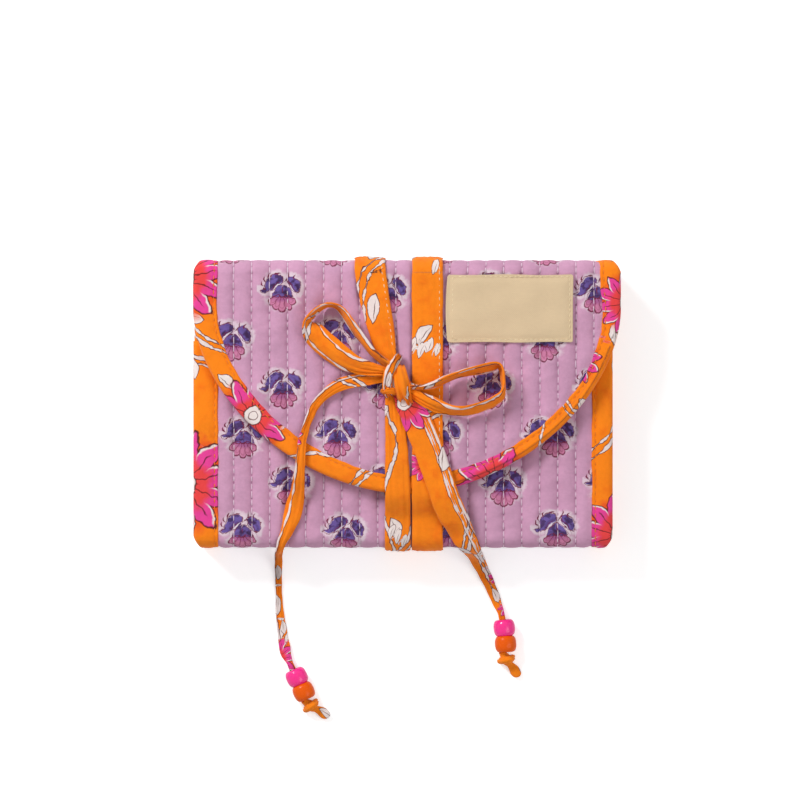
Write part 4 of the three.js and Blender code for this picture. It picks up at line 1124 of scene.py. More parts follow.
@dataclass
class RibbonTurns:
    """Where the ribbon turns round the folds and crosses the back."""

    thickness: float = 1.0
    clearance: float = 0.3
    width: float = 13.8
    straight_x: float = 9.1
    upper_x: float = -16.4
    lower_x: float = -4.1
    lower_width: float = 11.4
    outer_layer: float = 0.65
    inner_layer: float = 1.95
    press_edge: Pair = (1.6, 0.2)

    def turn(self, side: int, height: float, layer: float, steps: int = 9) -> tuple[Array, Array]:
        """The ribbon's middle line round one fold, from the back to the panel.

        Args:
            side: 1 at the top fold and -1 at the bottom one.
            height: The case's height there.
            layer: The height of the ribbon's middle on the back.
            steps: Steps in each quarter turn.

        Returns:
            Places and outward directions, in y and z.
        """
        bend = CASE.radius + self.clearance + self.thickness / 2
        low = CASE.radius * 1.4
        reach = bend - self.clearance / 2
        turns = np.concatenate([np.linspace(-QUARTER, 0, steps), np.linspace(0, QUARTER, steps)])
        out = np.stack([np.cos(turns), np.sin(turns)], -1)
        y = CASE.flat_y + self.clearance / 2 + reach * out[:, 0]
        below = np.arange(2 * steps) < steps
        z = np.where(below, low + (low - layer) * out[:, 1], height - CASE.radius + bend * out[:, 1])
        return np.stack([y, z], -1) * [side, 1], out * [side, 1]

    def room(self, x: Array, along: Array) -> Array:
        """How far the padding is pressed in under the ribbon, at each place of the case's face."""
        place, out = CASE.at(along)
        y = place[..., 0]
        pressed = np.zeros(np.broadcast(x, along).shape)
        share = np.clip((CASE.flat_y - y) / (2 * CASE.flat_y), 0, 1)
        upper, lower = (self.upper_x, self.width), (self.lower_x, self.lower_width)
        straight = (self.straight_x, self.width)
        outer, inner = self.outer_layer, self.inner_layer
        gap = self.clearance + self.thickness / 2

        def press(middle: Array | float, width: Array | float, deep: Array) -> None:
            """Presses the padding in under a ribbon of that width."""
            under = smooth_share(np.abs(x - middle) - width / 2, *self.press_edge)
            np.maximum(pressed, under * deep, out=pressed)

        for (top_x, top_width), (low_x, low_width), layer in (
            (upper, straight, outer), (straight, lower, inner),
        ):
            deep = np.where(out[..., 1] < -0.999, layer + gap, 0)
            press(top_x + (low_x - top_x) * share, top_width + (low_width - top_width) * share, deep)
        for side, height, (middle, width), layer in (
            (1, CASE.flap_top, upper, outer), (1, CASE.flap_top, straight, inner),
            (-1, CASE.front_top, lower, inner), (-1, CASE.front_top, straight, outer),
        ):
            line, _ = self.turn(side, height, layer, 24)
            from_middle = line - [side * CASE.flat_y, CASE.radius]
            angles = np.arctan2(from_middle[:, 1], from_middle[:, 0] * side)
            order = np.argsort(angles)
            reach = np.linalg.norm(from_middle, axis=1)[order]
            angle = np.arctan2(out[..., 1], out[..., 0] * side)
            limit = np.interp(angle, angles[order], reach) - gap
            in_corner = (y * side > CASE.flat_y - 0.01) & (out[..., 1] < 0)
            press(middle, width, np.where(in_corner, np.clip(CASE.radius - limit, 0, None), 0))
        return pressed


TURNS = RibbonTurns()


def stitches(
    making: Making,
    middles: Array,
    along: Array,
    up: Array,
    finish: int,
    length: float,
    half: float,
    uneven: float = 0.12,
) -> None:
    """Adds sewn stitches, each a short raised thread with its ends down in the cloth.

    Args:
        making: The mesh they join.
        middles: Each stitch's middle.
        along: Each stitch's direction.
        up: Each stitch's upward direction.
        finish: The number of the thread's material.
        length: How long a stitch is.
        half: The thread's half thickness.
        uneven: How much the lengths differ.
    """
    chance = np.random.default_rng(len(middles) + 5)
    long = length * (1 + chance.uniform(-uneven, uneven, len(middles)))
    across = unit(np.cross(up, along))
    profile = ((-0.5, -1.2, 0.3), (-0.34, 0.2, 0.9), (0, 0.6, 1.0), (0.34, 0.2, 0.9), (0.5, -1.2, 0.3))
    sides = np.arange(6) * math.tau / 6
    rings = []
    for share, lift, size in profile:
        centre = middles + along * (long * share)[:, None] + up * (half * lift)
        ring = [centre + (across * math.cos(a) + up * math.sin(a)) * (half * size) for a in sides]
        rings.append(np.stack(ring, 1))
    for stitch in np.stack(rings, 1):
        making.tube(stitch, stitch, finish)


def sew_round(making: Making, box: Sequence[float], level: float, way: int, pitch: float) -> None:
    """Adds stitches of the second material along the four sides of a flat piece.

    Args:
        making: The mesh they join.
        box: The line's lowest and highest x, and its lowest and highest y.
        level: The height of the face.
        way: 1 if the face looks up and -1 if it looks down.
        pitch: The distance from one stitch to the next.
    """
    left, right, near, far = box
    corners = np.array([(left, near), (right, near), (right, far), (left, far), (left, near)])
    for start, end in zip(corners, corners[1:]):
        count = max(1, round(np.linalg.norm(end - start) / pitch))
        share = (np.arange(count) + 0.5) / count
        middles = np.column_stack([start + (end - start) * share[:, None], np.full(count, level)])
        along, up = same([*unit(end - start), 0], count), same((0, 0, way), count)
        stitches(making, middles, along, up, 1, pitch * 0.68, 0.17)


def trimmed(along: Array, x: Array, inset: float, edges: Pair) -> tuple[Array, Array, Array, Array]:
    """Fits a grid on the case's face to the case's outline.

    Args:
        along: The distances along the face.
        x: The places across.
        inset: How far inside the flap's edge the cloth ends.
        edges: Where it ends at the left and right sides elsewhere.

    Returns:
        The places across, the shift in y, the depths inside the outline, and which squares stay.
    """
    y = CASE.at(along)[0][..., 0]
    on_flap = along > CASE.start(Zone.FLAP)
    left, right = edges[0], edges[1] + spread_right(along)
    straight = np.minimum(x - left, right - x) + inset
    depth = np.where(on_flap, FLAP_EDGE.depth(x, y)[0], straight)
    inside = depth > inset
    keep = inside[:-1, :-1] | inside[1:, :-1] | inside[:-1, 1:] | inside[1:, 1:]
    x, shift = x.copy(), np.zeros_like(x)
    off, beside = on_flap & ~inside, ~on_flap & ~inside
    x[off], new_y = FLAP_EDGE.pulled_in(x[off], y[off], inset)
    shift[off] = new_y - y[off]
    x[beside] = np.clip(x, left, right)[beside]
    return x, shift, depth, keep


@dataclass
class Lining:
    """The plain lining, along the inner side of the whole case."""

    top_offset: float = 4.55
    thickness: float = 0.5
    flap_inset: float = 8.3
    side_inset: float = 0.1
    spare: float = 8.0
    columns: int = 46
    step: float = 2.6
    wave: float = 0.1

    def part(self, stretch: Stretch) -> None:
        low, high = corner_of("back_lining")
        edges = (low[0] + self.side_inset, high[0] - self.side_inset)
        start = max(stretch.start, CASE.front_edge - corner_of("front_lining")[1][1])
        count = math.ceil((stretch.end - start) / self.step)
        across = np.linspace(edges[0] - self.spare, edges[1] + self.spare, self.columns)
        along, x = np.meshgrid(np.linspace(start, stretch.end, count), across, indexing="ij")
        x, shift, _, keep = trimmed(along, x, self.flap_inset, edges)
        wave = self.wave * ripple(x, along, 18, 91)
        top = CASE.raised(x, shift, along, 0 * wave - self.top_offset)
        bottom = CASE.raised(x, shift, along, -self.top_offset - self.thickness - wave)
        making = Making()
        making.layers(top, bottom, np.stack([x, along, 0 * x], -1), keep)
        piece = making.build(f"lining_{stretch.key}", "lining")
        stretch.settle(piece, "lining_cotton", stretch.nodes("lining"))
        flat = ((edges[1] - edges[0]) * MM, (stretch.end - start) * MM)

    def make(self) -> None:
        """Makes the four parts."""
        for stretch in STRETCHES:
            self.part(stretch)


@dataclass(frozen=True)
class SewnPiece:
    """A flat piece of cloth inside the case, sewn down along its edges."""

    node: str
    body: str
    finish: str
    slot: str
    rests_on: str
    puff: float = 0.3
    step: float = 2.6
    hem: float = 1.6
    stitch_pitch: float = 3.2
    thread: str = "cream_thread"
    way: int = 1
    cloth_share: float = 0.75
    narrowest_sheet: float = 10.0

    def make(self) -> None:
        low, high = corner_of(self.node)
        size = high - low
        counts = [max(6, math.ceil(size[k] / self.step)) for k in range(2)]
        x, y = np.meshgrid(*[np.linspace(low[k] + 0.05, high[k] - 0.05, counts[k]) for k in range(2)])
        edge = np.minimum(np.minimum(x - low[0], high[0] - x), np.minimum(y - low[1], high[1] - y))
        base = low[2] if self.way > 0 else high[2]
        lift = size[2] * self.cloth_share
        rise = self.puff * smooth_share(edge, self.hem * 0.8, self.hem * 5)
        rise = rise * (1 + 0.5 * ripple(x, y, 24, 63)) + 0.08 * ripple(x, y, 9, 71)
        rise = rise - 0.15 * smooth_share(np.abs(edge - self.hem), self.hem * 0.5, 0)
        top = np.stack([x, y, base + self.way * (lift + rise)], -1)
        bottom = np.stack([x, y, 0 * x + base + self.way * 0.02], -1)
        making = Making()
        whole = np.ones((counts[1] - 1, counts[0] - 1), bool)
        making.layers(top, bottom, np.stack([x, y, 0 * x], -1), whole)
        box = (low[0] + self.hem, high[0] - self.hem, low[1] + self.hem, high[1] - self.hem)
        sew_round(making, box, base + self.way * (lift - 0.1), self.way, self.stitch_pitch)
        piece = making.build(f"{self.node}.cloth", self.finish, self.thread)
        settle(piece, [self.node], self.body)


def softened(node: str, finish: str, rounding: float, steps: int = 3) -> None:
    """Makes a copy of a CAD solid with rounded edges, which rides the solid's own body.

    Its points and faces are sorted, because their order after the rounding isn't always the same.

    Args:
        node: The CAD solid.
        finish: Its material.
        rounding: The radius of the edges.
        steps: The faces across an edge.
    """
    original = frame["nodes"][node]
    editing = bmesh.new()
    editing.from_mesh(original.data)
    bmesh.ops.remove_doubles(editing, verts=editing.verts, dist=1e-6)
    bmesh.ops.dissolve_limit(editing, angle_limit=math.radians(1), verts=editing.verts, edges=editing.edges)
    sharp = [e for e in editing.edges if len(e.link_faces) == 2 and e.calc_face_angle() > 0.45]
    bmesh.ops.bevel(
        editing, geom=sharp, offset=rounding * MM, segments=steps, profile=0.5,
        affect="EDGES", clamp_overlap=True,
    )
    editing.verts.index_update()
    points = np.array([vertex.co for vertex in editing.verts]) / MM
    order = np.lexsort(np.round(points, 4).T)
    rank = np.argsort(order).tolist()
    faces = []
    for face in editing.faces:
        numbers = [rank[vertex.index] for vertex in face.verts]
        first = numbers.index(min(numbers))
        faces.append(numbers[first:] + numbers[:first])
    editing.free()
    making = Making()
    making.add(points[order], sorted(faces), points[order])
    piece = making.build(f"{node}.{finish}", finish)
    cutting = bmesh.new()
    cutting.from_mesh(piece.data)
    bmesh.ops.triangulate(cutting, faces=cutting.faces)
    cutting.to_mesh(piece.data)
    cutting.free()
    piece.data.set_sharp_from_angle(angle=math.radians(50))
    settle(piece, [node], original["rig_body"])


@dataclass
class ZipTeeth:
    """A row of metal teeth, with a stop at each end."""

    node: str
    pitch: float = 1.5
    across: float = 2.3
    half: float = 0.55
    stagger: float = 0.45
    stop_across: float = 3.6
    stop_half: float = 0.62
    cord_half: float = 0.32

    def make(self) -> None:
        """Makes the row."""
        low, high = corner_of(self.node)
        middle = (low + high) / 2
        x = np.arange(low[0] + 2.4, high[0] - 2.0, self.pitch)
        side = np.where(np.arange(len(x)) % 2, 1.0, -1.0)
        middles = np.column_stack([x, middle[1] + side * self.stagger, 0 * x + middle[2] - 0.08])
        stops = np.array([[low[0] + 0.8, *middle[1:]], [high[0] - 0.8, *middle[1:]]])
        making = Making()
        for places, length, half in (
            (middles, self.across, self.half), (stops, self.stop_across, self.stop_half),
        ):
            along, up = same((0, 1, 0), len(places)), same((0, 0, 1), len(places))
            stitches(making, places, along, up, 0, length, half, uneven=0.0)
        turn = np.arange(8) * math.tau / 8
        ring = np.stack([0 * turn, self.cord_half * np.cos(turn), self.cord_half * np.sin(turn)], -1)
        ends = np.linspace(low[0] + 1, high[0] - 1, 30)
        for offset in np.array([-1.0, 1.0]) * (self.across / 2 + self.stagger - 0.25):
            line = np.column_stack([ends, 0 * ends + middle[1] + offset, 0 * ends + low[2] + 0.34])
            grid = line[:, None] + ring
            making.tube(grid, grid, 1)
        settle(making.build(f"{self.node}.metal", "metal", "tape"), [self.node], "back_case")


@dataclass
class RingRoll:
    """The stuffed roll that rings are pushed onto, with its tab, anchor and press stud."""

    around: int = 44
    step: float = 1.6
    gathers: int = 13
    gather_depth: float = 0.45
    gather_reach: float = 14.0
    neck_half_width: float = 4.4
    neck_half_height: float = 1.3
    seam_pitch: float = 3.4
    seam_lean: float = math.radians(-58)

    def make_roll(self) -> None:
        low, high = corner_of("ring_bar")
        middle = (low + high) / 2
        radius = (high[1] - low[1]) / 2 - 0.15
        centre_z = high[2] - radius - 0.15
        rounded_end = high[0] - np.array([2.4, 1.5, 0.8, 0.35, 0.1])
        x = np.concatenate([np.arange(low[0] + 0.1, high[0] - 3, self.step), rounded_end])
        turn = np.arange(self.around) * math.tau / self.around
        to_neck = smooth_share(x, low[0] + 1.5, low[0] + 9)
        from_end = np.clip((high[0] - x) / 4.2, 0, 1)
        size = radius * np.sqrt(np.clip(1 - (1 - from_end) ** 2.6, 0.02, 1))
        wide = self.neck_half_width + (size - self.neck_half_width) * to_neck
        tall = self.neck_half_height + (size - self.neck_half_height) * to_neck
        level = low[2] + self.neck_half_height + (centre_z - low[2] - self.neck_half_height) * to_neck
        far = np.minimum(x - low[0], high[0] - x)[:, None]
        ends = smooth_share(far, self.gather_reach, 0)
        folds = np.cos(turn * self.gathers + 0.6 * ripple(x[:, None], turn * 9, 17, 2)) * ends
        slack = 0.22 * ripple(x[:, None] * 0.6, turn * radius, 8, 83) - 0.12
        shrink = 1 - (self.gather_depth * (0.5 - 0.5 * folds) * ends - slack * 0.5) / radius
        y = middle[1] + wide[:, None] * np.cos(turn) * shrink
        z = level[:, None] + tall[:, None] * np.sin(turn) * shrink
        grid = np.stack([np.broadcast_to(x[:, None], y.shape), y, z], -1)
        making = Making()
        making.tube(grid, np.stack([turn * radius + 0 * y, grid[..., 0] + 60, 0 * y], -1))
        seam = np.arange(low[0] + 12, high[0] - 6, self.seam_pitch)
        out = np.array([0.0, math.cos(self.seam_lean), math.sin(self.seam_lean)])
        places = np.column_stack([seam, 0 * seam + middle[1], 0 * seam + centre_z]) + out * (radius - 0.1)
        along, up = same((1, 0, 0), len(seam)), same(out, len(seam))
        stitches(making, places, along, up, 1, 2.3, 0.18)
        piece = making.build("ring_roll.cloth", "pocket", "thread")
        settle(piece, ["ring_bar"], "ring_roll")

    def make_tab(self) -> None:
        """Makes the tab from the roll's end to the press stud."""
        low, high = corner_of("ring_bar_tab")
        middle = (low[1] + high[1]) / 2
        flat = corner_of("press_stud_cap")[0][2] - 0.7
        profile = (
            (low[0] + 0.5, high[2] - 0.5, 8.6), (low[0] + 1.4, high[2] - 1.6, 8.6),
            (low[0] + 3.6, flat + 1.3, 8.6), (low[0] + 5.6, flat + 0.05, 8.7),
            (low[0] + 9.0, flat, 8.8), (high[0] - 1.0, flat, 8.8), (high[0] - 0.3, flat, 8.2),
        )
        cloth = RibbonCloth(thickness=0.7, crease=0.05, gather=0.0)
        making = Making()
        stations = [(x, middle, z, width) for x, z, width in profile]
        leaning_ribbon(making, cloth, stations, origin=(8.0, 3.0), seed=7)
        piece = making.build("ring_roll_tab.cloth", "binding")
        settle(piece, ["ring_bar_tab"], "ring_roll")

    def make(self) -> None:
        """Makes the roll and what holds it."""
        self.make_roll()
        self.make_tab()
        SewnPiece(
            "ring_bar_anchor", "back_case", "binding", "printed_binding", "lining_back_upper",
            puff=0.05, step=1.0, hem=1.2, stitch_pitch=2.4, thread="orange_thread",
        ).make()
        softened("press_stud_socket", "metal", 0.2)
        softened("press_stud_cap", "metal", 0.25)


class Inside:
    """The pockets, zips, ring roll and earring strip inside the case."""

    def make(self) -> None:
        """Makes every piece inside."""
        for level in ("lower", "upper"):
            SewnPiece(
                f"pocket_{level}", "back_case", "pocket", "pocket_cotton", "lining_back_lower", puff=0.35
            ).make()
            SewnPiece(
                f"zip_tape_{level}", "back_case", "tape", "zip_tape", "lining_back_lower",
                puff=0.0, step=1.6, hem=0.9, stitch_pitch=2.6, thread="orange_thread",
            ).make()
            ZipTeeth(f"zip_teeth_{level}").make()
            softened(f"zip_slider_{level}", "metal", 0.35)
            softened(f"zip_pull_{level}", "metal", 0.3)
        for side in ("left", "right"):
            SewnPiece(
                f"slip_pocket_{side}", "front", "pocket", "pocket_cotton", "lining_front", way=-1
            ).make()
        RingRoll().make()
        softened("earring_strip", "felt", 0.15, 2)


@dataclass
class QuiltedShell:
    """The quilted cloth, from the front panel round the case into the flap."""

    pitch: float = 8.0
    phase: float = 3.0
    depth: float = 1.35
    stitch_step: float = 3.5
    stitch_length: float = 2.7
    thread_half: float = 0.18
    left: float = corner_of("back_lining")[0][0]
    right: float = corner_of("back_lining")[1][0]
    under_binding: float = 3.4
    flap_shift: Pair = (4.8, -4.7)
    spare: Pair = (11.0, 9.3)
    first_row: float = 4.0
    first_stitch: float = 8.4
    bound: float = 9.8
    bound_less_right: float = 1.2
    pressed_depth: float = 0.95
    highest: float = 0.25
    stretched_share: float = 0.62
    stray: float = 0.14

    def columns(self) -> Array:
        """The places across, closer together near the sewn lines."""
        lines = self.phase + self.pitch * np.arange(-13, 12)
        steps = np.array([-2.7, -1.6, -0.85, -0.4, 0, 0.4, 0.85, 1.6, 2.7, 4.0])
        return np.sort((lines[:, None] + steps).ravel())

    def relief(self, x: Array, along: Array) -> Array:
        """How far the cloth stands out from the case's plain face."""
        off = np.abs((x - self.phase + self.pitch / 2) % self.pitch - self.pitch / 2)
        share = off / (self.pitch / 2)
        line = np.round((x - self.phase) / self.pitch)
        puffed = self.depth * (1 + 0.22 * ripple(line * 31, along, 17, 3))
        height = -puffed * (1 - (1 - (1 - share) ** 2) ** 0.8)
        beat = np.cos(math.tau * along / self.stitch_step)
        height -= 0.3 * smooth_share(off, 1.1, 0) * (0.5 + 0.5 * beat) ** 2
        height += 0.3 * (1 - share) ** 1.3 * ripple(line * 13, along, 5.5, 11)
        height += 0.22 * ripple(x, along, 21, 21) + 0.16 * ripple(x * 0.35, along, 5, 31)
        steep = np.abs(CASE.at(along)[1][..., 0])
        return np.minimum(height, self.highest) * (1 - self.stretched_share * steep)

    def rows(self, start: float, end: float) -> Array:
        """The distances along a part, three to a stitch."""
        step = self.stitch_step / 3
        inside = np.arange(math.ceil(start / step + 0.3), math.floor(end / step - 0.3) + 1) * step
        return np.concatenate([[start], inside, [end]])

    def part(self, stretch: Stretch) -> None:
        """Makes one part of the shell."""
        start = max(stretch.start, self.first_row)
        along, x = np.meshgrid(self.rows(start, stretch.end), self.columns(), indexing="ij")
        reach_in = self.under_binding
        edges = (self.left - self.spare[0] + reach_in + 0.3, self.right + self.spare[1] - reach_in - 0.3)
        x, shift, depth, keep = trimmed(along, x, reach_in, edges)
        band = FLAP_EDGE.depth(x, CASE.at(along)[0][..., 0])[1]
        beside = self.bound - self.bound_less_right * (x > 0)
        bound = np.where(along > CASE.start(Zone.FLAP), band, beside)
        depth = np.where(along < 30, np.minimum(depth, along + reach_in), depth)
        pressed = smooth_share(depth - bound, 3.2, -0.6)
        relief = self.relief(x, along) * (1 - pressed) - pressed * self.pressed_depth
        relief = relief - TURNS.room(x, along)
        under = -CASE.pad + 0.1 + 1.0 * smooth_share(depth - bound, 0.5, -1.5)
        under = under + 0.12 * ripple(x, along, 12, 41)
        over = smooth_share(along, CASE.start(Zone.BACK), CASE.start(Zone.TOP_CORNER))
        shifted = [x + self.flap_shift[0] * over, along + self.flap_shift[1] * over]
        cloth = np.stack([*shifted, 0 * x, x, along, 0 * x], -1)
        top, bottom = (CASE.raised(x, shift, along, offset) for offset in (relief, under))
        making = Making()
        making.layers(top, bottom, cloth, keep, under=1)
        self.sew(making, start, stretch.end)
        piece = making.build(f"quilt_{stretch.key}", "quilt", "lining", "thread")
        stretch.settle(piece, "quilted_cotton", stretch.nodes("panel"))

    def sew(self, making: Making, start: float, end: float) -> None:
        """Adds the running stitches of one part."""
        step = self.stitch_step
        lines = self.phase + self.pitch * np.arange(-12, 12)
        beats = (np.arange(math.ceil(start / step), math.floor(end / step)) + 0.5) * step
        along, x = (grid.ravel() for grid in np.meshgrid(beats, lines, indexing="ij"))
        place, out = CASE.at(along)
        side = np.minimum(x - self.left, self.right - x + spread_right(along))
        depth, band = FLAP_EDGE.depth(x, place[:, 0])
        inside = np.where(along > CASE.start(Zone.FLAP), depth - band, side) > 0.4
        inside &= along > self.first_stitch
        x, along, place, out = x[inside], along[inside], place[inside], out[inside]
        x = x + np.random.default_rng(7).uniform(-self.stray, self.stray, len(x))
        lift = self.relief(x, along) - TURNS.room(x, along) + self.thread_half * 0.8
        middle = np.column_stack([x, place + out * lift[:, None]])
        up = np.column_stack([0 * x, out])
        forward = np.column_stack([0 * x, -out[:, 1], out[:, 0]])
        stitches(making, middle, forward, up, 2, self.stitch_length, self.thread_half, uneven=0.28)

    def make(self) -> None:
        """Makes the four parts."""
        for stretch in STRETCHES:
            self.part(stretch)


@dataclass(frozen=True)
class Flower:
    """The middle of one printed flower on a strip, by the distances across and along."""

    across: float
    along: float
    size: float = 1.0
    white: bool = False


@dataclass(frozen=True)
class Spot:
    """Where a printed flower is seen, and how large, or a white pod."""

    x: float
    y: float
    z: float
    size: float = 1.0
    white: bool = False

    def on(self, line: Array, sideways: Array, along: Array) -> Flower:
        """The flower on a strip with that middle line, those directions across and distances."""
        apart = np.array([self.x, self.y, self.z]) - line
        near = np.argmin((apart**2).sum(-1))
        across = float((apart[near] * sideways[near]).sum())
        return Flower(across, float(along[near]), self.size, self.white)


def strip_cloth(
    across: Array,
    along: Array,
    turn: float,
    origin: Pair,
    flowers: Sequence[Flower],
    lines_at: Sequence[float] = (),
) -> Array:
    """The cloth places of a strip that was cut from printed cloth at a slant.

    Args:
        across: Distances across the strip.
        along: Distances along it.
        turn: The angle between the strip and the print.
        origin: Where on the print the strip starts.
        flowers: Where flowers lie on the strip.
        lines_at: How far from the middle white lines run.

    Returns:
        The place on the print with the distance from a white line, and the place from the nearest
        flower's middle with its strength, which is less than 0 for a white pod.
    """
    cosine, sine = math.cos(turn), math.sin(turn)
    from_line = np.full(across.shape, 9.0)
    for place in lines_at:
        beyond = (across - place) * np.sign(place)
        from_line = np.where(np.abs(beyond) < np.abs(from_line), beyond, from_line)
    u, v = origin[0] + across * cosine - along * sine, origin[1] + across * sine + along * cosine
    near, best = np.zeros(across.shape + (3,)), np.full(across.shape, np.inf)
    for flower in flowers:
        right, up = (across - flower.across) / flower.size, (along - flower.along) / flower.size
        far = np.hypot(right, up)
        share = smooth_share(far, 18.0, 15.5) * (-1 if flower.white else 1)
        place = np.stack([right * cosine - up * sine, right * sine + up * cosine, share], -1)
        near = np.where((far < best)[..., None], place, near)
        best = np.minimum(best, far)
    return np.concatenate([np.stack([u, v, from_line], -1), near], -1)


@dataclass
class BoundEdge:
    """Printed cloth, cut on the bias, folded over a raw edge and sewn down."""

    thickness: float = CASE.pad
    seam: float = 1.5
    step: float = 2.2
    bias: float = math.pi / 4
    corner_pull: float = 2.0
    stitch_step: float = 3.3
    stitch_length: float = 2.1
    thread_half: float = 0.2
    thread_depth: float = 0.36

    def ring(self, width: float, along: float) -> Array:
        """One closed outline, as distances inwards from the outer edge and heights."""
        seam, half = self.seam, self.thickness / 2
        top = [
            (width, -1.5), (width + 0.02, -0.9), (width - 0.18, -0.42), (width - 0.7, -0.25),
            (width - seam + 0.35, -0.34), (width - seam, -0.52), (width - seam - 0.4, -0.28),
            (width - seam - 1.2, 0.02), (width * 0.5 + 0.6, 0.16), (width * 0.36, 0.12), (width * 0.26, 0.0),
        ]
        turn = np.linspace(QUARTER, -QUARTER, 9)
        edge = zip(half - half * np.cos(turn), half * np.sin(turn) - half)
        low = [
            (width * 0.36, -self.thickness), (width * 0.6, -self.thickness),
            (width - 0.8, -self.thickness + 0.02), (width, -self.thickness + 0.4), (width, -2.4),
        ]
        points = np.array([*top, *edge, *low])
        wave = float(ripple(np.array(along), np.array(3.0), 9.0, 5)) * 0.3
        points[:, 0] += wave * smooth_share(points[:, 0], width * 0.4, width)
        pucker = ripple(points[:, 0] * 0.6, np.array(along), 4.2, 9) * 0.12
        seam_near = smooth_share(np.abs(points[:, 0] - width + seam), 2.6, 0)
        beat = math.cos(math.tau * along / self.stitch_step)
        points[: len(top), 1] += (pucker + seam_near * 0.1 * beat)[: len(top)]
        return points

    def sweep(
        self,
        making: Making,
        route: tuple[Array, Array, Array],
        widths: Array,
        along: Array,
        flowers: Sequence[Flower],
        origin: Pair,
    ) -> None:
        """Adds the folded cloth along an edge.

        Args:
            making: The mesh it joins.
            route: The places of the outer edge, and the directions over the cloth and out of the face.
            widths: The widths there.
            along: The distances along the strip.
            flowers: Where flowers lie on the strip.
            origin: Where on the print the strip starts.
        """
        edges, inwards, ups = route
        rings = np.stack([self.ring(w, s) for w, s in zip(widths, along)])
        grid = edges[:, None] + inwards[:, None] * rings[..., :1] + ups[:, None] * rings[..., 1:]
        gaps = np.linalg.norm(np.diff(rings, axis=1), axis=2)
        across = widths[:, None] - np.concatenate([np.zeros((len(rings), 1)), np.cumsum(gaps, axis=1)], 1)
        far = np.broadcast_to(along[:, None], across.shape)
        making.tube(grid, strip_cloth(across, far, self.bias, origin, flowers))
        count = int((along[-1] - along[0]) / self.stitch_step)
        beats = along[0] + (np.arange(count) + 0.5) * self.stitch_step
        line = edges + inwards * (widths - self.seam - 0.05)[:, None] - ups * self.thread_depth
        forwards = unit(strung(beats, along, np.gradient(line, axis=0)))
        high = unit(strung(beats, along, ups))
        middles = strung(beats, along, line)
        stitches(making, middles, forwards, high, 1, self.stitch_length, self.thread_half)


